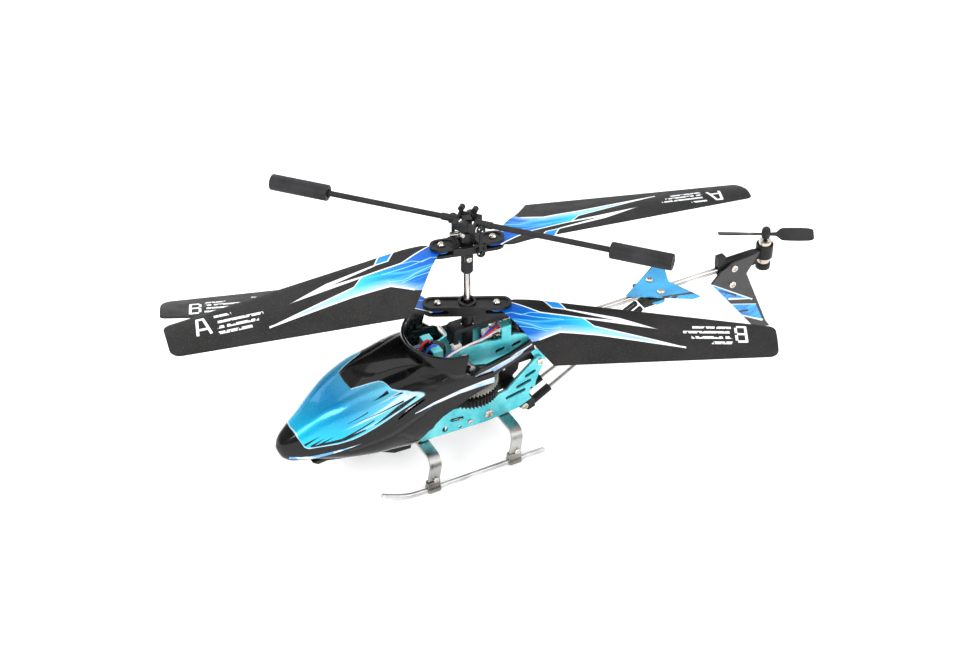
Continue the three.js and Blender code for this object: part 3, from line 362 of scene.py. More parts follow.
def put_object(name, mesh, material, **settings):
    obj = bpy.data.objects.new(name, mesh)
    bpy.context.scene.collection.objects.link(obj)
    finish(obj, material, **settings)


def shade(mesh, angle=35):
    for face in mesh.polygons:
        face.use_smooth = True
    mesh.set_sharp_from_angle(angle=math.radians(angle))


def from_bmesh(name, bm, smooth_angle=35):
    mesh = bpy.data.meshes.new(name)
    bmesh.ops.recalc_face_normals(bm, faces=bm.faces)
    bm.to_mesh(mesh)
    bm.free()
    if smooth_angle:
        shade(mesh, smooth_angle)
    return mesh


def basis_for(direction):
    w = Vector(direction).normalized()
    ref = Z if abs(w.z) < 0.9 else Vector((1, 0, 0))
    u = ref.cross(w).normalized()
    return u, w.cross(u), w


def ring_surface(bm, rings):
    """Skins a list of equal closed rings of points and caps both ends."""
    made = [[bm.verts.new(p) for p in ring] for ring in rings]
    count = len(made[0])
    for low, high in zip(made, made[1:]):
        for i in range(count):
            j = (i + 1) % count
            bm.faces.new((low[i], low[j], high[j], high[i]))
    bm.faces.new(list(reversed(made[0])))
    bm.faces.new(made[-1])


def lathe(bm, profile, origin, direction, sides=32):
    """Turns (radius, height) rows about an axis through origin, in mm."""
    u, v, w = basis_for(direction)
    rings = []
    for radius, height in profile:
        r = max(radius, 0.004)
        rings.append([origin + (w * height + (u * math.cos(t) + v * math.sin(t)) * r) * MM
            for t in (2 * math.pi * i / sides for i in range(sides))])
    ring_surface(bm, rings)


def sweep(bm, points, radius, sides=12):
    """A round tube with domed ends along mm points given as row-frame vectors."""
    tangents = []
    for i, p in enumerate(points):
        a, b = points[max(i - 1, 0)], points[min(i + 1, len(points) - 1)]
        tangents.append((b - a).normalized())
    u, _, _ = basis_for(tangents[0])
    rings = []
    for i, (p, t) in enumerate(zip(points, tangents)):
        u = (u - t * u.dot(t)).normalized()
        v = t.cross(u)
        r = radius * MM
        circle = [(u * math.cos(a) + v * math.sin(a)) for a in (2 * math.pi * k / sides
            for k in range(sides))]
        if i == 0:
            rings.append([p + c * r * 0.55 for c in circle])
            rings.append([p + t * r * 0.35 + c * r for c in circle])
        elif i == len(points) - 1:
            rings.append([p - t * r * 0.35 + c * r for c in circle])
            rings.append([p + c * r * 0.55 for c in circle])
        else:
            rings.append([p + c * r for c in circle])
    ring_surface(bm, rings)


def spline(points, per=6):
    """Catmull-Rom points through the given row-frame vectors."""
    full = [points[0] * 2 - points[1]] + list(points) + [points[-1] * 2 - points[-2]]
    out = []
    for a, b, c, d in zip(full, full[1:], full[2:], full[3:]):
        for k in range(per):
            t = k / per
            out.append(0.5 * ((2 * b) + (c - a) * t + (2 * a - 5 * b + 4 * c - d) * t * t
                              + (3 * b - a - 3 * c + d) * t ** 3))
    return out + [points[-1]]


def bevel_sharp(bm, width_mm, angle=40):
    edges = [e for e in bm.edges if len(e.link_faces) == 2 and e.calc_face_angle(0) > math.radians(angle)]
    bmesh.ops.bevel(bm, geom=edges, offset=width_mm * MM, segments=2, profile=0.5, affect="EDGES",
        clamp_overlap=True)


def prism(bm, outline, normal_axis, low, high):
    """Extrudes an outline in mm along X, Y or Z."""
    def place(a, b, c):
        return at(*{"y": (a, c, b), "z": (a, b, c), "x": (c, a, b)}[normal_axis])
    ring_surface(bm, [[place(a, b, low) for a, b in outline], [place(a, b, high) for a, b in outline]])


def soften(name, material, width_mm):
    """Shows a CAD node with rounded edges and its own material."""
    node = NODES[name]
    mesh = node.data
    mesh.materials.clear()
    mesh.materials.append(material)
    for face in mesh.polygons:
        face.use_smooth = True
    weld = node.modifiers.new("weld", "WELD")
    weld.merge_threshold = 2e-6
    flat = node.modifiers.new("flat", "DECIMATE")
    flat.decimate_type = "DISSOLVE"
    flat.angle_limit = math.radians(1.0)
    round_off = node.modifiers.new("round_off", "BEVEL")
    round_off.width = width_mm * MM
    round_off.segments = 2
    round_off.limit_method = "ANGLE"
    round_off.angle_limit = math.radians(38)
    round_off.use_clamp_overlap = True
    weighted = node.modifiers.new("weighted", "WEIGHTED_NORMAL")
    weighted.mode = "FACE_AREA"
    weighted.keep_sharp = True


# ------------------------------------------------------------------ main blades
ROTOR_RADIUS = 95
PITCH, DROOP = math.tan(math.radians(11.4)), math.tan(math.radians(1.2))
BLADE_ROOT = 2.75


def lerp(a, b, t):
    return a + (b - a) * t


def smooth(x, low, high):
    t = min(1, max(0, (x - low) / (high - low)))
    return t * t * (3 - 2 * t)


def blade_edges(s, length):
    """Leading and trailing chord limits at span s, trailing positive."""
    around = math.sqrt(max(0.3, BLADE_ROOT ** 2 - s ** 2))
    lead_root = -around if s < 1.5 else lerp(-2.6, -3.5, smooth(s, 1.5, 6))
    trail_root = around if s < 1.5 else lerp(2.4, 23.2, (s - 1.5) / 15)
    lead = lerp(-3.5, 7.7, max(0, s - 6) / (length - 6)) if s >= 6 else lead_root
    trail = lerp(23.7, 19.6, (s - 16.5) / (length - 16.5)) if s >= 16.5 else trail_root
    lead += 1.6 * (1 - math.sqrt(max(0, 1 - max(0, (s - length + 2) / 2) ** 2)))
    trail -= 3 * (1 - math.sqrt(max(0, 1 - max(0, (s - length + 3) / 3) ** 2)))
    return lead, trail


def blade_mesh(name, hinge, matrix, side_sign):
    length = ROTOR_RADIUS - hinge
    spans = [-2.62, -2.4, -2.0, -1.4, -0.6, 0.4, 1.5, 2.6, 4, 5.5, 7, 8.5, 10, 11.5, 13, 14.4, 15.4, 16.1,
        16.8, 17.6, 18.8] + [20.5 + 3.1 * i for i in range(20)]
    spans += [length - d for d in (4.4, 3, 2.2, 1.5, 0.9, 0.45, 0.15, 0.02)]
    chord = 14
    bm = bmesh.new()
    uv = bm.loops.layers.float_vector.new("paint")
    rings, local = [], {}
    for s in spans:
        lead, trail = blade_edges(s, length)
        twist, bow = PITCH * smooth(s, 3.6, 13), 0.5 * smooth(s, 10, 24)
        fall = DROOP * max(0, s - 3.6)
        ring = []
        for k in range(2 * chord):
            across = k / chord if k <= chord else 2 - k / chord
            across = 0.5 - 0.5 * math.cos(math.pi * across) if 0 < across < 1 else across
            t = lerp(lead, trail, across)
            body = 0.4 * (0.45 + 0.55 * math.sin(math.pi * min(1, across + 0.12)))
            rim = min(1, math.sqrt(max(0, min(across, 1 - across) / 0.05)))
            skin = 0 if k in (0, chord) else (1 if k < chord else -1) * body * rim
            z = -t * twist - fall + bow * math.sin(math.pi * across) + skin
            vert = bm.verts.new(matrix @ (Vector((s, side_sign * t, z)) * MM))
            local[vert] = (s, t)
            ring.append(vert)
        rings.append(ring)
    for low, high in zip(rings, rings[1:]):
        for i in range(2 * chord):
            j = (i + 1) % (2 * chord)
            face = bm.faces.new((low[i], low[j], high[j], high[i]))
            below = 0 if i < chord else 1000
            for loop in face.loops:
                s, t = local[loop.vert]
                loop[uv] = (s + below, t, 1)
    for ring in (rings[0], rings[-1]):
        for loop in bm.faces.new(ring).loops:
            loop[uv] = (local[loop.vert][0] + 1000, local[loop.vert][1], 1)
    return from_bmesh(name, bm, 50)


def blade_look(name, letter):
    look = Look(name, IOR=1.48, Specular_IOR_Level=0.28)
    uv1 = look.node("Attribute", attribute_name="paint").outputs["Vector"]
    split = look.node("SeparateXYZ", uv1)
    s, t = split.outputs[0], split.outputs[1]
    on_top = look.math("LESS_THAN", s, 500)
    # moulded black ground
    drift = look.remap(look.noise(9.0, 4), 0.35, 0.65)
    ground = look.mix(drift, "100f0f", "1c1a1a")
    speck = look.remap(look.noise(0.5, 2), 0.56, 0.7, 0.0, 0.6)
    ground = look.mix(speck, ground, "37342f")
    # colour field between two bent lines
    upper = look.curve(s, [(0, 0.8), (2.9, 2.2), (13.5, 7.4), (26.4, 9.8), (29.8, 13.3), (57.4, 21.4)],
        (64, 30))
    upper = look.minus(upper, 4.5)
    lower = look.curve(s, [(0, 22), (8.5, 15.8), (12.7, 13.9), (19.2, 11.2), (31.2, 12.4), (57.4, 16.9)],
        (64, 30))
    from_upper = look.minus(t, upper)
    from_lower = look.minus(lower, t)
    inside = look.times(look.remap(from_upper, -0.06, 0.06), look.remap(from_lower, -0.06, 0.06))
    inside = look.times(inside, look.math("LESS_THAN", s, 57.4))
    field = look.ramp(look.math("DIVIDE", s, 60), [(0.0, "0250b4"), (0.13, "025dc0"), (0.24, "0578cc"),
        (0.36, "0a9dd8"), (0.47, "36c2e9"), (0.58, "86cdf7"), (0.75, "a4b6f2"), (0.95, "c4cdf8")])
    # painted sheen: a pale blue-white band along the lower line of the colour field, put into the base
    # colour
    painted_sheen = look.times(look.remap(from_lower, 0.0, 3.4, 0.8, 0.0), look.remap(s, 6, 15))
    painted_sheen = look.times(painted_sheen, look.remap(s, 44, 30))
    field = look.mix(painted_sheen, field, "c5dcfb")
    glow = look.flat_noise(uv1, (0.03, 0.55, 0), 1.6)
    field = look.mix(look.remap(glow, 0.52, 0.7, 0.0, 0.45), field, "62dcf8")
    bolts = [[(1.7, 4.1), (4.5, 3.6), (7.2, 4.5), (10.2, 3.0), (13.3, 3.1)],
        [(5.6, 3.9), (12.7, 4.9), (20.5, 6.0)], [(4.6, 7.4), (10.5, 8.0), (14.5, 9.6), (19.5, 9.4)],
        [(6.8, 9.6), (11.0, 9.2), (15.5, 10.4)]]
    forks = [(a, b, 0.24, 0.2) for bolt in bolts for a, b in zip(bolt, bolt[1:])]
    field = look.mix(look.times(look.strokes(uv1, forks, 0.2), 0.8), field, "9ff0fa")
    colour = look.mix(inside, ground, field)
    # leading edge flash, then every white line and the plain bars near the tip
    flash = [(14.3, -2.9), (17.2, 0.75), (21.3, 1.45), (18.9, -2.4)]
    colour = look.mix(look.polygon(uv1, flash), colour, look.mix(look.remap(t, -1.5, 1.5), "1a7fdc",
        "1296dc"))
    trim = look.times(look.remap(look.size(from_upper), 0.27, 0.15), look.math("LESS_THAN", s, 57.4))
    under = look.times(look.remap(look.size(look.minus(from_lower, 0.15)), 0.36, 0.2),
        look.math("LESS_THAN", look.size(look.minus(s, 35)), 22.4))
    white = [trim, under, look.polygon(uv1, [(25.8, 4.95), (26.2, 5.6), (48.8, 9.65), (38.0, 6.4)]),
        look.polygon(uv1, [(21.3, 1.4), (21.4, 1.95), (48.8, 9.65), (37.5, 5.1)]),
        look.lines(uv1, [((14.0, -2.9), (17.1, 0.95)), ((16.9, 0.9), (21.7, 1.7)),
        ((21.5, 1.7), (18.7, -2.6))], 0.34)]
    if letter == "A":
        glyph = [((77.9, 14.6), (76.9, 8.3)), ((73.9, 14.6), (75.2, 8.3)), ((77.3, 12.6), (74.4, 12.6)),
            ((77.1, 8.5), (75.0, 8.5))]
        rows = [(8.6, 66.8), (11.0, 57.8), (13.0, 59.6), (15.0, 62.0)]
    else:
        glyph = [((76.3, 8.2), (76.3, 14.8))] + [((76.3, row), (73.6, row)) for row in (8.5, 11.6, 14.5)]
        glyph += [((73.3, low), (73.3, high)) for low, high in ((8.9, 11.2), (12.0, 14.1))]
        rows = [(15.0, 65.4), (13.0, 59.4), (10.9, 57.0), (8.9, 60.0)]
    white.append(look.lines(uv1, glyph, 0.8))
    bars = look.lines(uv1, [((71.9, row), (end, row)) for row, end in rows], 0.95)
    gaps = look.flat_noise(uv1, (0.9, 0.45, 0), 1.0, 0.0)
    plain = look.times(bars, look.remap(gaps, 0.34, 0.4))
    ink = look.times(look.union(white + [look.times(plain, 0.92)]), on_top)
    ink = look.times(ink, look.remap(look.noise(0.6, 2), 0.2, 0.4, 0.88, 1.0))
    colour = look.mix(ink, colour, WHITE)
    look.feed("Base Color", colour)
    printed = look.math("MAXIMUM", inside, ink)
    rough = look.remap(look.noise(4.0, 3), 0.3, 0.7, 0.44, 0.58)
    look.feed("Roughness", look.minus(rough, look.times(printed, 0.12)))
    look.feed("Normal", look.bump(look.noise(0.42, 2), 0.035, 0.8))
    return look.material


BLADES = [("upper_blade_front", "upper_front_blade", "upper_front_blade_fold", -12.1, 2.5, 8.1, 1),
    ("upper_blade_rear", "upper_rear_blade", "upper_rear_blade_fold", 167.9, -1.9, 8.1, 1),
    ("lower_blade_front", "lower_front_blade", "lower_front_blade_fold", -26.5, -4.8, 9.15, -1),
    ("lower_blade_rear", "lower_rear_blade", "lower_rear_blade_fold", 153.5, 0.5, 9.15, -1)]
blade_looks = {1: blade_look("blade_film_a", "A"), -1: blade_look("blade_film_b", "B")}
for node, body, fold, azimuth, lag, hinge, turn in BLADES:
    root = Matrix.Translation(Vector(JOINTS[fold]["pos_m"]))
    root @= Matrix.Rotation(math.radians(azimuth + turn * lag), 4, "Z")
    put_object(node + "_film", blade_mesh(node + "_film", hinge, root, turn), blade_looks[turn], body=body,
        slot="blade_plastic", replaces=[node])


# ------------------------------------------------------------------ canopy
STATIONS = [(66.2, 25.6, 24.2, 0.7, 24.8, 0.2), (65.2, 27.6, 21.6, 2.4, 24.4, 0.2),
    (62.5, 30.2, 19.8, 4.4, 24.4, 0.16), (58, 33.9, 19.5, 6.6, 24.6, 0.1),
    (52, 38.2, 18.8, 8.9, 25.4, 0.26), (45, 41.5, 18.0, 11.3, 26.6, 0.4),
    (37, 44.2, 17.0, 13.0, 28.2, 0.41), (31, 45.3, 16.2, 13.7, 30.0, 0.36),
    (21, 46.6, 14.9, 14.4, 32.4, 0.38), (10, 46.8, 14.9, 14.6, 34.0, 0.38),
    (-2, 46.8, 14.9, 14.4, 35.0, 0.38)]
WALL = 0.9
RIM_X, RIM_R, RIM_LOW, RIM_TOP = 6.4, 14.9, 43.4, 49.4
BOOM_SCREW = (-21.6, 37.2)


def station(x):
    """Smooth values between the station rows (monotone cubic)."""
    rows = STATIONS
    i = 0
    while i < len(rows) - 2 and rows[i + 1][0] > x:
        i += 1
    a, b = rows[i], rows[i + 1]
    t = (a[0] - x) / (a[0] - b[0])
    out = []
    for c in range(1, 6):
        def slope(k):
            if k == 0 or k == len(rows) - 1:
                n = 1 if k == 0 else k
                return (rows[n][c] - rows[n - 1][c]) / (rows[n - 1][0] - rows[n][0])
            left = (rows[k][c] - rows[k - 1][c]) / (rows[k - 1][0] - rows[k][0])
            right = (rows[k + 1][c] - rows[k][c]) / (rows[k][0] - rows[k + 1][0])
            return 0 if left * right <= 0 else 2 * left * right / (left + right)
        h = a[0] - b[0]
        m0, m1 = slope(i) * h, slope(i + 1) * h
        out.append((2 * t ** 3 - 3 * t ** 2 + 1) * a[c] + (t ** 3 - 2 * t ** 2 + t) * m0
                   + (3 * t ** 2 - 2 * t ** 3) * b[c] + (t ** 3 - t ** 2) * m1)
    return out


def power(value, exponent):
    return math.copysign(abs(value) ** exponent, value)


def canopy_ring(x, inset, count=112, shift=0.0):
    crown, keel, half, waist, square = station(min(66.2, max(-2, x)))
    ring = []
    for i in range(count):
        a = 2 * math.pi * (i + 0.5) / count
        up = math.sin(a) > 0
        y = power(math.cos(a), 0.9 - square if up else 0.72) * max(0.2, half - inset)
        reach = crown - waist - inset if up else waist - keel - inset
        ring.append(at(x + shift, y, waist + power(math.sin(a), 0.92 - square) * max(0.2, reach)))
    return ring


def solid(name, build):
    bm = bmesh.new()
    build(bm)
    bmesh.ops.recalc_face_normals(bm, faces=bm.faces)
    mesh = bpy.data.meshes.new(name)
    bm.to_mesh(mesh)
    bm.free()
    obj = bpy.data.objects.new(name, mesh)
    bpy.context.scene.collection.objects.link(obj)
    return obj


def boolean(base, tools, operation="DIFFERENCE"):
    """Applies solid tools to a base object and removes the tools."""
    for tool in tools:
        step = base.modifiers.new("cut", "BOOLEAN")
        step.object, step.operation, step.solver = tool, operation, "EXACT"
    graph = bpy.context.evaluated_depsgraph_get()
    mesh = bpy.data.meshes.new_from_object(base.evaluated_get(graph))
    base.modifiers.clear()
    base.data = mesh
    for tool in tools:
        bpy.data.objects.remove(tool)
    return base


def arm_solid(turn):
    outline = [(16, 28.6), (4, 32.8), (-9, 34.2), (-19.5, 35.4), (-22.6, 36.2), (-22.9, 38.6),
        (-20.5, 39.8), (-11, 38.6), (-2, 39.0), (6, 42.6), (16, 42.6)]

    def build(bm):
        def y_of(x):
            return lerp(5.3, 13.0, max(0, min(1, (x + 19) / 33)))
        ring_surface(bm, [[at(x, turn * y_of(x), z) for x, z in outline],
            [at(x, turn * (y_of(x) + 1), z) for x, z in outline]])
    return solid("arm", build)


def canopy_object():
    outer_x = [66.2, 66.0, 65.7, 65.2, 64.5, 63.6, 62.5, 61.2] + [60 - 1.55 * i for i in range(41)]
    inner_x = [61 - 1.7 * i for i in range(38)]
    shell = solid("canopy_gloss", lambda bm: ring_surface(bm, [canopy_ring(x, 0) for x in outer_x]))
    hollow = solid("hollow", lambda bm: ring_surface(bm, [canopy_ring(x,
        WALL) for x in inner_x] + [canopy_ring(-2, WALL, shift=-6)]))
    undercut = [(70, 18.4), (48, 20.2), (27, 18.6), (23.6, 21), (20.2, 24.9), (16, 28.4), (5, 33.2),
        (-12, 38), (-12, 60), (2, 60), (2, 70), (-60, 70), (-60, -5), (70, -5)]
    well = solid("well", lambda bm: lathe(bm, [(RIM_R - WALL, 0), (RIM_R - WALL, 21)],
        at(RIM_X, 0, RIM_LOW - 4.4), Z, 96))
    behind = solid("behind", lambda bm: prism(bm, undercut, "y", -30, 30))
    rear = solid("rear", lambda bm: prism(bm, [(-40, 39), (RIM_X, 39), (RIM_X, 60), (-40, 60)], "y", -13,
        13))
    notch = [(-40, 39.2), (4.2, 39.2), (8.8, 43.4), (6.6, 51), (-40, 51)]
    boolean(shell, [hollow, behind, well, rear, solid("notch", lambda bm: prism(bm, notch, "y", -30, 30))])
    lip = [(RIM_R - WALL, RIM_LOW - 2.6), (RIM_R + 0.2, RIM_LOW - 2.6), (RIM_R + 0.5, RIM_LOW),
        (RIM_R + 0.2, RIM_TOP - 0.7), (RIM_R, RIM_TOP - 0.15), (RIM_R - 0.3, RIM_TOP),
        (RIM_R - 0.6, RIM_TOP), (RIM_R - WALL + 0.05, RIM_TOP - 0.2), (RIM_R - WALL, RIM_TOP - 0.5)]

    def collar_build(bm):
        sides = 120
        rings = []
        for i in range(sides):
            a = 2 * math.pi * i / sides
            rings.append([at(RIM_X + r * math.cos(a), r * math.sin(a), z) for r, z in lip])
        made = [[bm.verts.new(p) for p in ring] for ring in rings]
        for low, high in zip(made, made[1:] + made[:1]):
            for k in range(len(lip)):
                n = (k + 1) % len(lip)
                bm.faces.new((low[k], low[n], high[n], high[k]))
    collar = solid("collar", collar_build)
    gap = solid("gap", lambda bm: prism(bm, [(-40, 30), (4.6, 30), (4.6, 60), (-40, 60)], "y", -30, 30))
    boolean(collar, [gap, solid("notch", lambda bm: prism(bm, notch, "y", -30, 30))])
    boolean(shell, [collar, arm_solid(1), arm_solid(-1)], "UNION")
    tools = []
    for x, z in (BOOM_SCREW, (0.8, 33.6)):
        tools.append(solid("hole", lambda bm: lathe(bm, [(0.8, -30), (0.8, 30)], at(x, 0, z), (0, 1, 0),
            20)))
    tools.append(solid("vent", lambda bm: prism(bm, [(31.2, 32.1), (31.0, 33.0), (27.6, 35.8), (22.2, 37.9),
        (22.1, 37.2), (27.2, 34.7)], "y", -30, 30)))
    boolean(shell, tools)
    return shell


def canopy_look():
    look = Look("canopy_paint", Coat_Weight=0.7, Coat_Roughness=0.05, Coat_IOR=1.34, Specular_IOR_Level=0.1)
    local = look.node("VectorMath", look.place, tuple(AXIS), operation="SUBTRACT").outputs[0]
    split = look.node("SeparateXYZ", look.scaled(local, (1000,) * 3))
    x, y, z = split.outputs
    wide = look.size(y)
    xz1 = look.node("CombineXYZ", x, z, 1.0).outputs[0]
    xw1 = look.node("CombineXYZ", x, wide, 1.0).outputs[0]
    floor_line = look.curve(x, [(20, 39.8), (22.5, 39.0), (26.5, 37.4), (30.1, 35.8), (33.3, 34.2),
        (37.3, 32.1), (41.2, 30.2), (44.9, 28.6), (49.8, 27.3), (55.4, 26.7), (58.1, 26.3), (59.3, 26.9),
        (60.4, 29.5), (61.2, 30.8), (61.8, 33.0)], (70, 60))
    over = look.minus(z, floor_line)
    front = look.minus(61.3, look.math("ADD", x, look.times(wide, 0.16)))
    brow = [(20, 19.6), (22.5, 19.1), (25.8, 18.4), (30.1, 16.9), (31.8, 16.0), (33.2, 13.2), (34.2, 12.4),
        (39.8, 10.7), (42.4, 9.6), (42.6, 8.8), (42.8, 0)]
    glass = look.minus(look.curve(x, brow, (70, 30)), 5)
    beyond = look.minus(wide, glass)
    hood = look.times(look.remap(over, -0.08, 0.08), look.remap(front, -0.08, 0.08))
    hood = look.times(hood, look.remap(beyond, -0.08, 0.08))
    hood = look.times(hood, look.remap(x, 21.8, 22.1))
    rim = look.math("MINIMUM", look.math("MINIMUM", over, front), beyond)
    trim = look.times(look.remap(look.size(rim), 0.26, 0.12), look.remap(x, 21.8, 22.4))
    trim = look.times(trim, 0.8)
    drift = look.remap(look.noise(11.0, 3), 0.35, 0.65)
    black = look.mix(drift, "050506", "0d0d0f")
    enamel = look.ramp(look.remap(z, 27, 46), [(0.0, "10bfe0"), (0.3, "04a5d2"), (0.6, "0080b6"),
        (1.0, "02609c")])
    flake = look.remap(look.noise(0.25, 1), 0.4, 0.7, 0.0, 0.1)
    cyan = look.mix(flake, enamel, "7fe4f2")
    cyan = look.mix(look.remap(x, 48, 27, 0.0, 0.6), cyan, "86ecfa")
    colour = look.mix(hood, black, cyan)
    pale = [((46.0, 33.0), (27.5, 40.6), 0.0, 2.4), ((39.5, 35.6), (25.2, 40.4), 0.0, 1.7),
        ((36.0, 39.9), (29.4, 41.6), 0.0, 0.7), ((44.0, 30.9), (31.0, 36.0), 0.0, 1.0)]
    colour = look.mix(look.times(look.strokes(xz1, pale, 0.5), look.times(hood, 0.75)), colour, "d5f2fa")
    dark = [((38.3, 40.7), (33.0, 42.4), 0.0, 0.9), ((46.6, 34.5), (40.2, 37.6), 0.2, 0.35),
        ((46.2, 34.1), (28.9, 38.9), 0.0, 0.65), ((32.2, 40.9), (28.6, 41.6), 0.0, 0.6),
        ((38.6, 32.6), (30.4, 37.0), 0.3, 1.7), ((30.4, 37.0), (24.0, 39.9), 1.7, 0.5),
        ((48.4, 28.9), (38.6, 34.4), 0.7, 0.4), ((59.2, 27.5), (54.4, 30.7), 0.8, 0.0),
        ((57.5, 26.9), (52.9, 30.2), 0.8, 0.0), ((55.4, 27.2), (50.2, 30.5), 0.8, 0.0),
        ((57.0, 26.9), (48.4, 28.6), 0.7, 1.2), ((48.4, 28.6), (41.4, 31.4), 1.2, 0.6)]
    colour = look.mix(look.strokes(xz1, dark), colour, BLACK)
    light = [((63.6, 22.5), (57.0, 22.3), 0.9, 1.5), ((57.4, 22.3), (43.2, 26.1), 1.5, 0.0)]
    sky = look.strokes(xz1, light)
    colour = look.mix(sky, colour, look.mix(look.remap(look.noise(1.6, 2, (0.3, 1, 1)), 0.45, 0.6),
        "5fa6dc", "e6f3fb"))
    run = [(25.5, 33.1), (19.3, 34.8), (10.6, 36.2), (2.7, 36.4), (-3.5, 36.2), (-11.3, 36.8),
        (-19.6, 38.6)]
    wide_run = [0.2, 0.9, 1.3, 1.9, 2.2, 2.0, 0.5]
    arm = look.union([look.stroke(xz1, a, b, wa, wb) for a, b, wa, wb in zip(run, run[1:], wide_run,
        wide_run[1:])])
    fade = look.times(look.remap(x, 12, -14), look.remap(z, 37.6, 34.4))
    pale_run = look.mix(fade, "e3eefa", "2f9fd2")
    colour = look.mix(arm, colour, look.mix(look.remap(look.noise(1.4, 2, (0.2, 1, 1)), 0.5, 0.62, 0.0,
        0.7), pale_run, "7fb4e6"))
    colour = look.mix(trim, colour, PALE)
    look.feed("Base Color", colour)
    look.feed("Metallic", look.times(hood, 0.3))
    look.rough(5.0, 3, 0.22, 0.32)
    crease = look.curve(x, [(18, 8.8), (25.4, 6.8), (30.7, 5.6), (37.4, 4.9), (42.4, 4.5), (44, 4.2)],
        (70, 20))
    fold = look.times(look.remap(look.minus(wide, crease), -0.5, 0.5, 1.0, 0.0),
        look.remap(look.minus(42.6, x), 0.0, 0.4))
    grooves = [((25.0, 45.4), (17.2, 42.4), 0.2, 1.6), ((17.2, 42.4), (9.0, 41.6), 1.6, 1.2),
        ((28.0, 42.6), (18.0, 40.4), 0.2, 1.0), ((20.0, 33.2), (31.9, 26.8), 0.4, 1.4),
        ((31.9, 26.8), (46.0, 23.6), 1.4, 0.3), ((30.5, 26.0), (26.0, 22.6), 0.8, 0.8)]
    dents = look.strokes(xz1, grooves, 1.5)
    relief = look.minus(look.times(fold, 0.8), look.times(dents, 0.5))
    look.feed("Normal", look.bump(relief, 1.0, 0.9))
    return look.material


canopy = canopy_object()
shade(canopy.data, 32)
finish(canopy, canopy_look(), replaces=["canopy"])


# ------------------------------------------------------------------ small builders
def piece(name, build, material, angle=35, bevel=0.0, **settings):
    """Builds one piece; the settings are finish's body, slot and replaces."""
    bm = bmesh.new()
    build(bm)
    bmesh.ops.recalc_face_normals(bm, faces=bm.faces)
    if bevel:
        bevel_sharp(bm, bevel)
    put_object(name, from_bmesh(name, bm, angle), material, **settings)


def adopt(obj, material, angle=35, bevel=0.0, **settings):
    """Takes a cut solid as a finished piece, with its sharp edges rounded."""
    mesh = obj.data
    if bevel:
        bm = bmesh.new()
        bm.from_mesh(mesh)
        bmesh.ops.dissolve_limit(bm, angle_limit=math.radians(1), verts=bm.verts, edges=bm.edges)
        bevel_sharp(bm, bevel)
        bm.to_mesh(mesh)
        bm.free()
    shade(mesh, angle)
    finish(obj, material, **settings)


def polar(azimuth, along, side, z):
    """A point on a turned rotor part: along its span, to its left, at height z."""
    a = math.radians(azimuth)
    return at(along * math.cos(a) - side * math.sin(a), along * math.sin(a) + side * math.cos(a), z)


def heading(azimuth):
    return Vector((math.cos(math.radians(azimuth)), math.sin(math.radians(azimuth)), 0))


def raw_box(bm, low, high):
    x, y, z = zip(low, high)
    ring_surface(bm, [[Vector((a, b, c)) * MM for a, b in ((x[0], y[0]), (x[1], y[0]), (x[1], y[1]),
        (x[0], y[1]))] for c in z])


def screw_mesh(radius, height, cross=True):
    """Pan head with a cut recess, standing on z = 0."""
    head = solid("head", lambda bm: lathe(bm, [(0, -0.15), (radius * 0.94, -0.15), (radius, 0.05),
        (radius, height * 0.35), (radius * 0.9, height * 0.75), (radius * 0.6, height * 0.97), (0, height)],
        Vector((0, 0, 0)), Z, 30))
    arm, half = radius * 0.62, radius * 0.15
    cuts = [solid("cut", lambda bm: raw_box(bm, (-arm, -half, height * 0.45), (arm, half, height * 2)))]
    if cross:
        cuts.append(solid("cut", lambda bm: raw_box(bm, (-half, -arm, height * 0.45),
            (half, arm, height * 2))))
    boolean(head, cuts)
    mesh = head.data
    bpy.data.objects.remove(head)
    return mesh


def copies(name, rows, **settings):
    """Joins turned copies of meshes: rows of (mesh, place, facing direction, turn about it)."""
    bm = bmesh.new()
    for mesh, place, facing, turn in rows:
        one = mesh.copy()
        one.transform(Matrix.Translation(place) @ Vector(facing).to_track_quat("Z",
            "X").to_matrix().to_4x4() @ Matrix.Rotation(turn, 4, "Z"))
        bm.from_mesh(one)
    put_object(name, from_bmesh(name, bm, 32), screw_steel, **settings)


LEFT, RIGHT = Vector((0, 1, 0)), Vector((0, -1, 0))
pan, pan_small, slotted = screw_mesh(1.3, 0.6), screw_mesh(0.95, 0.5), screw_mesh(1.6, 0.5, False)

# ------------------------------------------------------------------ painted and soft materials
lead_red = moulded("lead_red", "c3172a", "ea3e4c", rough=(0.3, 0.42), grain_mm=0.5, grain=0.01)
lead_blue = moulded("lead_blue", "1c49b5", "3a74e0", rough=(0.3, 0.42), grain_mm=0.5, grain=0.01)
lead_white = moulded("lead_white", "cfcfcb", "f0f0ec", rough=(0.32, 0.45), grain_mm=0.5, grain=0.01)
foil = metal("foil", "b4b8bd", "dfe2e6", rough=(0.26, 0.44), line_mm=2.2, depth=0.06, Metallic=0.75)
end_bell = moulded("end_bell", "09090a", "151517", rough=(0.26, 0.38), grain=0.01, wear=0.4)


def board_look():
    look = Look("board", Coat_Weight=0.3)
    split = look.node("SeparateXYZ", look.scaled(look.place, (1000,) * 3))
    grid = look.union([look.remap(look.math("PINGPONG", axis, 0.8), 0.1, 0.16, 1.0,
        0.0) for axis in (split.outputs[0], split.outputs[1])])
    trace = look.times(grid, look.remap(look.noise(2.6, 1), 0.48, 0.52))
    colour = look.mix(trace, "12492f", "1f7048")
    look.feed("Base Color", look.mix(look.remap(look.cells(1.9), 0.14, 0.1), colour, "c8ccc6"))
    look.rough(1.5, 2, 0.3, 0.5)
    return look.material


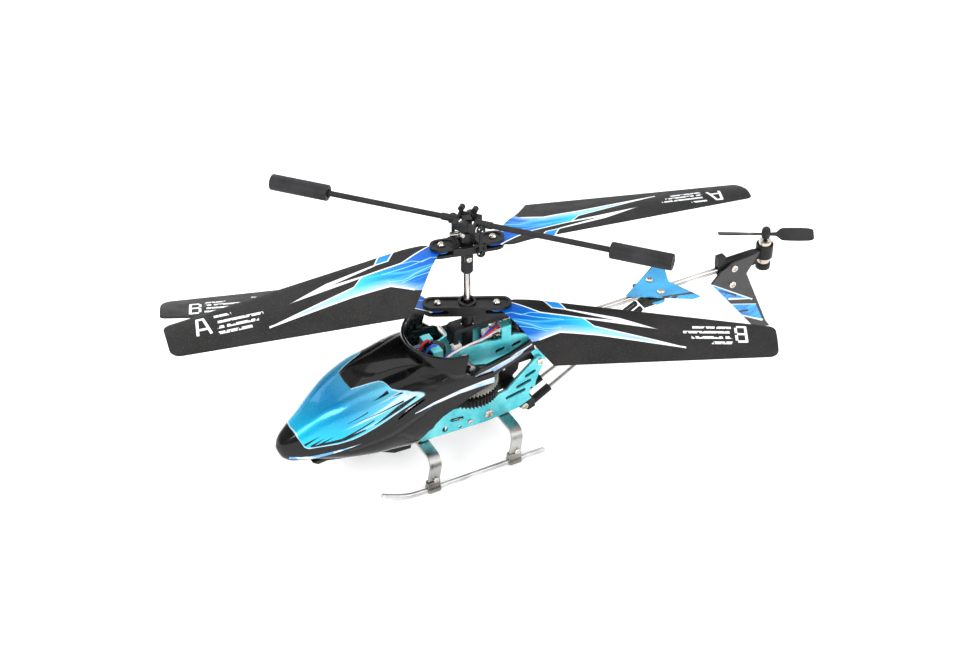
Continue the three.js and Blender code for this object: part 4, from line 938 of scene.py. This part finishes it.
def plane_marks(look):
    """Object coordinates as work-frame (x, z, 1) and (x, y, 1) vectors in mm."""
    local = look.scaled(look.node("VectorMath", look.place, tuple(AXIS), operation="SUBTRACT").outputs[0],
        (1000,) * 3)
    x, y, z = look.node("SeparateXYZ", local).outputs
    return look.node("CombineXYZ", x, z, 1.0).outputs[0], look.node("CombineXYZ", x, y, 1.0).outputs[0]


def fin_look():
    look = Look("fin_paint", Coat_Weight=0.3, Coat_Roughness=0.2)
    xz1, _ = plane_marks(look)
    drift = look.remap(look.noise(7.0, 4), 0.35, 0.65)
    colour = look.mix(drift, "101011", "1e1e20")
    blue = look.mix(look.remap(look.noise(3.2, 3, (1, 1, 2)), 0.36, 0.66), "0f63c4", "2fb4f2")
    upper = look.polygon(xz1, [(-90.2, 34.9), (-91.2, 33.6), (-97.3, 26.0), (-99.0, 25.6), (-108.2, 22.4)])
    lower = look.polygon(xz1, [(-99.4, 23.4), (-109.9, 19.9), (-113.6, 12.0), (-104.6, 17.0)])
    pale = [look.stroke(xz1, (-91.0, 34.4), (-108.2, 22.6), 0.3, 0.5),
        look.stroke(xz1, (-98.2, 26.2), (-108.4, 22.8), 0.9, 0.2), look.stroke(xz1, (-99.2, 23.6),
        (-110.0, 20.0), 0.3, 0.3), look.stroke(xz1, (-104.3, 17.2), (-113.6, 11.9), 0.4, 0.8)]
    streak = [look.stroke(xz1, (-94.0, 31.2), (-101.5, 26.6), 0.2, 0.9),
        look.stroke(xz1, (-101.5, 19.6), (-107.0, 18.4), 0.3, 0.9)]
    colour = look.mix(look.union([upper, lower]), colour, look.mix(look.union(streak), blue, BLACK))
    colour = look.mix(look.union(pale), colour, "d9e8f6")
    look.feed("Base Color", colour)
    look.rough(4.0, 3, 0.38, 0.52)
    look.feed("Normal", look.bump(look.noise(0.3, 2), 0.02, 0.6))
    return look.material


def stabiliser_look():
    look = Look("stabiliser_paint", Coat_Weight=0.6, Coat_Roughness=0.08)
    _, xy1 = plane_marks(look)
    blue = look.mix(look.remap(look.noise(8.0, 3), 0.35, 0.65), "128bc6", "25a8df")
    dark = [look.stroke(xy1, (-67.6, 6.2), (-79.0, 9.4), 0.5, 1.1),
        look.stroke(xy1, (-58.6, -0.4), (-78.2, -12.0), 0.1, 1.0), look.stroke(xy1, (-66.0, 7.0),
        (-73.0, 8.4), 0.2, 0.6)]
    look.feed("Base Color", look.mix(look.union(dark), blue, BLACK))
    look.rough(3.0, 3, 0.24, 0.36)
    look.feed("Normal", look.bump(look.noise(0.5, 2), 0.01, 0.5))
    return look.material


# ------------------------------------------------------------------ flybar weights and rotor head
FLYBAR_AZ, HEAD_AZ = -47.5, -12.1
FLYBAR_Z = 87.9
for end, s in (("front", 1), ("rear", -1)):
    def weight(bm):
        w = heading(FLYBAR_AZ) * s
        origin = at(0, 0, FLYBAR_Z)
        lathe(bm, [(0, 45.7), (1.25, 45.7), (1.35, 45.05), (2.3, 45.0), (2.48, 45.12), (2.55, 45.4),
            (2.55, 63.4), (2.5, 63.75), (2.34, 63.95), (2.1, 64.0), (1.02, 64.0), (0.98, 63.4),
            (0.42, 63.35), (0.38, 63.9), (0, 63.9)], origin, w, 56)
    piece("weight_" + end, weight, weight_plastic, 30, body="stabiliser_bar",
        replaces=["flybar_weight_" + end])


bm = bmesh.new()
lathe(bm, [(0, 17.3), (1.05, 17.3), (1.15, 17.45), (1.15, 79.2), (1.05, 79.35), (0, 79.35)], at(0, 0, 0), Z,
    40)
put_object("mast", from_bmesh("mast", bm, 30), bright_steel, body="upper_head", replaces=["inner_shaft"])
bm = bmesh.new()
lathe(bm, [(1.4, 57.2), (1.66, 57.2), (1.8, 57.05), (1.8, 27.3), (1.4, 27.3)], at(0, 0, 0), Z, 40)
put_object("sleeve", from_bmesh("sleeve", bm, 30), hub_plastic, body="lower_head", replaces=["outer_shaft"])

pin = heading(HEAD_AZ)
copies("head_screws", [(pan_small, polar(HEAD_AZ, 0, 2.6, 75.5), heading(HEAD_AZ + 90), 0.4),
    (pan_small, polar(FLYBAR_AZ, 0.2, 3.55, 85.0), heading(FLYBAR_AZ + 90), 0.2)], body="upper_head")

def head_block(bm, low, high, azimuth):
    ring_surface(bm, [[polar(azimuth, a, b, z) for a, b in ((low[0], low[1]), (high[0], low[1]),
        (high[0], high[1]), (low[0], high[1]))] for z in (low[2], high[2])])


def seesaw(bm):
    for s in (1, -1):
        head_block(bm, *sorted(((-3.7, s * 2.45, 86.3), (3.7, s * 3.55, 88.6)), key=lambda c: c[2]),
            FLYBAR_AZ)
        lathe(bm, [(0.6, 1.9), (1.5, 1.9), (1.75, 2.1), (1.75, 4.0), (1.5, 4.25), (0.6, 4.25)],
            polar(FLYBAR_AZ, 0, 0, FLYBAR_Z), heading(FLYBAR_AZ + 90) * s, 28)


piece("seesaw_cheeks", seesaw, hub_plastic, 35, 0.12, body="stabiliser_bar")
piece("clamp_boss", lambda bm: head_block(bm, (-1.3, 1.6, 74.0), (1.3, 2.55, 76.9), HEAD_AZ), hub_plastic,
    35, 0.12, body="upper_head")
piece("head_pin", lambda bm: lathe(bm, [(0, 0), (0.62, 0), (0.78, 0.15), (0.8, 3.3), (0.66, 3.5),
    (0.35, 3.52), (0.3, 3.2), (0, 3.2)], polar(HEAD_AZ, 1.7, -1.1, 83.2), pin, 28), bright_steel, 30,
    body="upper_head")

# ------------------------------------------------------------------ motors
MOTOR_X = 11.4


def motor_case(name, x, low, high, replaces, material, bell, bell_slot):
    case = solid(name, lambda bm: lathe(bm, [(0.9, low + 0.35), (1.6, low + 0.3), (1.7, low), (3.3, low),
        (3.55, low + 0.1), (3.65, low + 0.35), (3.65, high - 2.5), (3.5, high - 2.3), (0.9, high - 2.3)],
        at(x, 0, 0), Z, 64))
    flats = [solid("flat", lambda bm: raw_box(bm, (-9, 3.35, 0), (9, 9, high - 2.2 - 0.2)))
        for _ in range(2)]
    flats[1].data.transform(Matrix.Rotation(math.pi, 4, "Z"))
    for flat in flats:
        flat.data.transform(Matrix.Translation(at(x, 0, 0)))
    boolean(case, flats)
    adopt(case, material, 28, 0.1, slot="steel", replaces=replaces)
    cap = solid(name + "_bell", lambda bm: lathe(bm, [(0.9, high - 2.35), (3.38, high - 2.35),
        (3.4, high - 0.55), (3.3, high - 0.3), (2.9, high - 0.02), (1.5, high), (1.4, high + 0.5),
        (1.2, high + 0.6), (0.55, high + 0.6), (0.5, high + 0.3)], at(x, 0, 0), Z, 56))
    vents = [solid("vent", lambda bm: raw_box(bm, (1.7, -0.45, high - 1.1), (2.7, 0.45, high + 1)))
        for _ in range(2)]
    for turn, vent in zip((90, 270), vents):
        vent.data.transform(Matrix.Translation(at(x, 0, 0)) @ Matrix.Rotation(math.radians(turn), 4, "Z"))
    boolean(cap, vents)
    adopt(cap, bell, 28, 0.06, slot=bell_slot)


motor_case("front_case", MOTOR_X, 32.6, 44.4, ["front_motor"], motor_metal, end_bell, "black_plastic")
motor_case("rear_case", -MOTOR_X, 32.6, 45.8, ["rear_motor"], motor_metal, motor_metal, "steel")


def lead(name, points, radius, material, slot, replaces=()):
    path = spline([at(*p) for p in points], 8)
    piece(name, lambda bm: sweep(bm, path, radius, 14), material, 60, slot=slot, replaces=replaces)


lead("red_lead", [(12.6, -0.9, 45.7), (14.0, -0.4, 47.2), (16.6, 0.2, 45.6), (18.2, 0.2, 40),
    (19.4, -0.6, 36.4), (21.2, -1.2, 33.2)], 0.42, lead_red, "lead_red", ["front_motor_lead"])
lead("blue_lead", [(-9.6, 2.4, 46.8), (-6.4, 2.9, 46.3), (-3.6, 3.4, 44.6), (0, 3.7, 43.3),
    (6.4, 3.6, 43.1), (8.4, 4.4, 43.2), (15.0, 5.7, 41.2), (18.8, 4.6, 38), (21.0, 2.2, 33.2)], 0.42,
    lead_blue, "lead_blue", ["rear_motor_lead"])
lead("blue_lead_front", [(11.0, 1.4, 45.6), (13.4, 2.0, 46.6), (16.0, 2.4, 44.6), (18.6, 2.6, 40.5),
    (20.6, 1.2, 33.0)], 0.38, lead_blue, "lead_blue")
lead("white_lead", [(-10.4, 3.6, 46.2), (-6.4, 4.0, 45.6), (-3.2, 4.4, 44.9), (0.4, 4.6, 44.8),
    (6.0, 4.9, 44.0), (10.0, 5.6, 43.2), (15.4, 6.6, 40.6), (19.2, 5.4, 37.2), (21.4, 3.0, 33.2)], 0.36,
    lead_white, "lead_blue")
lead("red_lead_rear", [(-12.6, 2.0, 46.8), (-8.2, 3.4, 46.9), (-4.6, 4.0, 45.4), (-0.4, 4.3, 44.1),
    (6.2, 4.4, 43.6), (9.6, 5.2, 42.6), (15.2, 6.2, 39.6), (19.0, 4.8, 36.4), (21.6, 2.6, 33.0)], 0.36,
    lead_red, "lead_red")


# ------------------------------------------------------------------ frame screws and boom fittings
rows = []
for s, out in ((1, LEFT), (-1, RIGHT)):
    for i, (x, z, y, mesh) in enumerate([(-23.3, 29.8, 5.95, pan), (2.1, 14.6, 5.95, pan_small),
            (21.0, 13.4, 5.3, pan_small), (-4.8, 15.1, 5.92, slotted), (-21.6, 37.2, 6.3, pan),
            (0.8, 33.6, 11.0, pan_small)]):
        rows.append((mesh, at(x, s * y, z), out, 0.5 + 0.9 * i))
copies("frame_screws", rows)


LINER = [(2.6, 20.2), (-6, 19.8), (-8.6, 21.4), (-11.6, 21.9), (-12.9, 23.4), (-17.8, 27.5), (-21.2, 30.4),
    (-22.6, 31), (-23.6, 30.4), (-24, 29), (-22.8, 26.3), (-21.3, 22.4), (-20.9, 20.1), (-19.2, 18.6),
    (-19, 17.2), (-19.6, 16.2), (-15.2, 14.1), (-10, 13.5), (-4.8, 13), (4, 13), (4, 20.6)]
FRONT_LINER = [(20.2, 15.2), (18, 16.6), (14.5, 18.7), (10.7, 20.4), (10.7, 13.4), (19, 13.4)]
SLOT_LINER = [(-6.6, 37.4), (-17.6, 37.8), (-17.6, 40.4), (-6.6, 40)]


def liners(bm):
    for s in (1, -1):
        for outline, low, high in ((LINER, 4.3, 5.05), (FRONT_LINER, 4.3, 5.05), (SLOT_LINER, 3.5, 4.1)):
            prism(bm, outline, "y", *sorted((s * low, s * high)))


piece("inner_liners", liners, black_plastic, 35, 0.08)
for side, s in (("left", 1), ("right", -1)):
    piece("standoff_" + side, lambda bm: lathe(bm, [(0.6, 4.95), (1.5, 4.95), (1.6, 5.1), (1.6, 5.9),
        (1.2, 6.1), (1.2, 11.6), (1.05, 11.9), (0.6, 11.9)], at(4.4, 0, 41.0), (0, s, 0), 36), hoop_metal,
        30)
arch = solid("shaft_arch", lambda bm: prism(bm, [(-19.6, 40.8), (-17.0, 49.0), (-16.0, 49.9), (5.0, 49.9),
    (5.9, 49.2), (5.9, 43.4), (4.3, 43.4), (4.3, 48.5), (-15.2, 48.5), (-17.6, 40.8)], "y", -2.7, 2.7))
boolean(arch, [solid("bore", lambda bm: lathe(bm, [(2.1, 40), (2.1, 60)], at(0, 0, 0), Z, 40))])
adopt(arch, black_plastic, 30, 0.2)
copies("brace_screws", [(pan, at(-18.6, 4.6, 12.1), LEFT, 0.3), (pan, at(-18.6, -4.6, 12.1), RIGHT, 0.3)])
for name, low, high in (("plug_front", (3.6, 1.2, 41.6), (6.4, 3.6, 44.6)),
        ("plug_rear", (-7.4, 0.4, 43.4), (-4.6, 3.2, 45.8))):
    def plug(bm):
        ring_surface(bm, [[at(a, b, z) for a, b in ((low[0], low[1]), (high[0], low[1]), (high[0], high[1]),
            (low[0], high[1]))] for z in (low[2], high[2])])
    piece(name, plug, lead_white, 40, 0.35, slot="grey_nylon")


def brace_end(side):
    a, b = at(-22.8, side * 3.0, 12.0), at(-63.4, side * 1.6, 33.9)
    run = (b - a).normalized()
    u = Vector((run.z, 0, -run.x)).normalized()
    w = run.cross(u)

    def place(p, q, r):
        return b + (run * p + u * q + w * r) * MM

    def plate(bm):
        outline = [(-5.4, -0.45), (-4.4, -1.0), (0.1, -1.0), (0.55, -0.5), (0.55, 0.5), (0.1, 1.0),
            (-4.4, 1.0), (-5.4, 0.45)]
        ring_surface(bm, [[place(p, q, r) for p, q in outline] for r in (-0.5, 0.5)])

    def opening(bm):
        outline = [(-3.9, -0.3), (-3.6, -0.5), (-0.6, -0.5), (-0.3, -0.3), (-0.3, 0.3), (-0.6, 0.5),
            (-3.6, 0.5), (-3.9, 0.3)]
        ring_surface(bm, [[place(p, q, r) for p, q in outline] for r in (-2, 2)])

    fork = boolean(solid("brace_end", plate), [solid("opening", opening)])
    fork.name = "brace_end_" + ("left" if side > 0 else "right")
    adopt(fork, hub_plastic, 30, 0.1)
    piece("brace_rod_" + ("left" if side > 0 else "right"), lambda bm: sweep(bm,
        [a + run * 1.05 * MM, b - run * 4.2 * MM], 0.65, 28), boom_steel, 40,
        replaces=["brace_" + ("left" if side > 0 else "right")])


brace_end(1)
brace_end(-1)
copies("stabiliser_screws", [(pan, at(-69.5, -3.3, 40.1), Z, 0.5), (pan, at(-69.3, 4.1, 40.1), Z, 1.1)])
copies("fin_screws", [(pan, at(-99.4, 2.3, 38.4), LEFT, 0.4), (pan, at(-99.2, 2.3, 31.9), LEFT, 1.0)])
piece("stabiliser_tab", lambda bm: prism(bm, [(-70.4, 2.6), (-66.6, 2.6), (-66.0, 4.6), (-67.2, 5.6),
    (-70.2, 5.4)], "z", 36.6, 37.9), stabiliser_look(), 35, 0.15, slot="blue_plastic")


# ------------------------------------------------------------------ tail rotor and motor
TAIL_X, TAIL_Z, TAIL_AZ = -112.85, 46.6, -29
def paddle(bm, s):
    rows = [(0.9, 1.4, 12), (2.2, 1.45, 12), (3.4, 1.7, 14), (4.2, 3.0, 22), (4.9, 4.3, 27),
        (5.8, 4.8, 27.5), (8, 5.05, 26), (11, 5.2, 24.5), (14.2, 5.0, 22.9), (15.3, 4.5, 22.4),
        (15.75, 3.9, 22.1), (15.95, 3.2, 22)]
    rings = []
    for r, chord, pitch in rows:
        tilt = math.radians(pitch)
        ring = []
        for k in range(16):
            a = 2 * math.pi * (k + 0.5) / 16
            c = power(math.cos(a), 0.55) * chord / 2
            thick = 0.28 * power(math.sin(a), 0.8)
            ring.append(polar(TAIL_AZ, s * r, s * (c * math.cos(tilt) - thick * math.sin(tilt)),
                TAIL_Z + c * math.sin(tilt) + thick * math.cos(tilt)))
        rings.append([p + tail_shift for p in ring])
    ring_surface(bm, rings)


tail_shift = Vector((TAIL_X * MM, 0, 0))


def tail_rotor(bm):
    paddle(bm, 1)
    paddle(bm, -1)
    lathe(bm, [(0, -1.6), (0.85, -1.6), (1.1, -1.45), (1.4, -1.1), (1.5, -0.7), (1.5, 1.2), (1.46, 1.7),
        (1.3, 2.1), (1.0, 2.45), (0.55, 2.7), (0, 2.8)], at(TAIL_X, 0, TAIL_Z), Z, 32)
    lathe(bm, [(0, -7.3), (0.38, -7.3), (0.38, -1.5), (0, -1.5)], at(TAIL_X, 0, TAIL_Z), Z, 20)


piece("tail_paddles", tail_rotor, tail_plastic, body="tail_spinner", replaces=["tail_rotor"])
piece("tail_case", lambda bm: lathe(bm, [(0, 33.3), (1.95, 33.2), (2.08, 33.35), (2.1, 33.6), (2.1, 43.8),
    (2.0, 44.0), (1.6, 44.15), (0.9, 44.2), (0.75, 44.0), (0.75, 43.2), (0, 43.2)], at(TAIL_X, 0, 0), Z,
    48), motor_metal, 30, replaces=["tail_motor"])
piece("tail_cup", lambda bm: lathe(bm, [(0, 33.2), (2.3, 33.2), (2.48, 33.35), (2.5, 33.6), (2.5, 35.3),
    (2.4, 35.5), (2.12, 35.5), (2.12, 33.6), (0, 33.6)], at(TAIL_X, 0, 0), Z, 48), tail_plastic, 30)

# ------------------------------------------------------------------ landing gear
for side, s in (("left", 1), ("right", -1)):
    path = spline([at(x, 15 * s, z) for x, z in ((-20.2, 0.87), (-10, 0.86), (5, 0.86), (18, 0.86),
        (24, 0.88), (28.2, 1.2), (31.8, 2.25), (35.2, 3.7), (38.2, 5.15))], 6)
    piece("skid_rail_" + side, lambda bm: sweep(bm, path, 0.84, 28), skid_metal, 50,
        replaces=["skid_" + side])
rows = []
for s, out in ((1, LEFT), (-1, RIGHT)):
    for x in (20.2, -9.0):
        rows.append((pan_small, at(x - 0.6, s * 15.9, 4.9), out, 0.3))
copies("hoop_screws", rows)


def saddle(bm, x, s):
    section = [(1.05, 0.02), (1.5, 0.35), (1.72, 0.95), (1.66, 1.5), (1.3, 2.05), (1.08, 2.5), (1.08, 3.95),
        (0.9, 4.15), (-0.9, 4.15), (-1.08, 3.95), (-1.08, 2.5), (-1.3, 2.05), (-1.66, 1.5), (-1.72, 0.95),
        (-1.5, 0.35), (-1.05, 0.02)]
    rows = [(-2.15, 0.9), (-1.95, 0.98), (-1.8, 1.0), (1.8, 1.0), (1.95, 0.98), (2.15, 0.9)]
    ring_surface(bm, [[at(x + dx, 15 * s + y * grow, 2 + (z - 2) * grow) for y, z in section] for dx,
        grow in rows])


for end, x in (("front", 20.2), ("rear", -9.0)):
    for side, s in (("left", 1), ("right", -1)):
        piece(f"{end}_saddle_{side}", lambda bm: saddle(bm, x, s), clamp_metal, 40,
            replaces=[f"{end}_clamp_{side}"])

# ------------------------------------------------------------------ CAD nodes shown with softened edges
PLAIN = [(plate_metal, 0.1, ["lower_frame_left", "lower_frame_right", "upper_frame_left",
    "upper_frame_right"]), (black_plastic, 0.14, ["core_frame", "bearing_block", "skid_mount",
    "brace_mount", "boom_clamp", "belly_tray", "switch_body", "stabiliser_clamp", "inner_gear"]),
    (hub_plastic, 0.14, ["lower_hub", "upper_grip", "rotor_head", "link_left", "link_right"]),
    (bar_plastic, 0.12, ["flybar"]), (tail_plastic, 0.14, ["tail_mount"]),
    (grey_nylon, 0.05, ["outer_gear"]), (screw_steel, 0.05, ["lower_screw_front", "lower_screw_rear",
    "upper_screw_front", "upper_screw_rear", "switch_slider"]), (bright_steel, 0.05,
    ["front_motor_shaft", "rear_motor_shaft"]), (boom_steel, 0.05, ["tail_boom"]),
    (hoop_metal, 0.16, ["front_hoop", "rear_hoop"]), (foil, 0.5, ["battery"]),
    (board_look(), 0.06, ["receiver_board"]), (fin_look(), 0.16, ["tail_fin"]),
    (stabiliser_look(), 0.16, ["stabiliser"])]
for look_, width, names in PLAIN:
    for name in names:
        soften(name, look_, width)

# ------------------------------------------------------------------ floor
bm = bmesh.new()
ring_surface(bm, [[at(x, y, z) for x, y in ((-4000, -4000), (4000, -4000), (4000, 4000), (-4000, 4000))]
    for z in (-6, -0.03)])
floor = bpy.data.objects.new("floor", from_bmesh("floor", bm, 0))
bpy.context.scene.collection.objects.link(floor)
paper = Look("paper", Emission_Color=(1, 1, 1, 1), Emission_Strength=0.2)
paper.feed("Base Color", paper.mix(paper.remap(paper.noise(60, 3), 0.3, 0.7), (0.93, 0.93, 0.93, 1),
    (0.95, 0.95, 0.95, 1)))
paper.rough(20, 2, 0.85, 0.95)
floor.data.materials.append(paper.material)
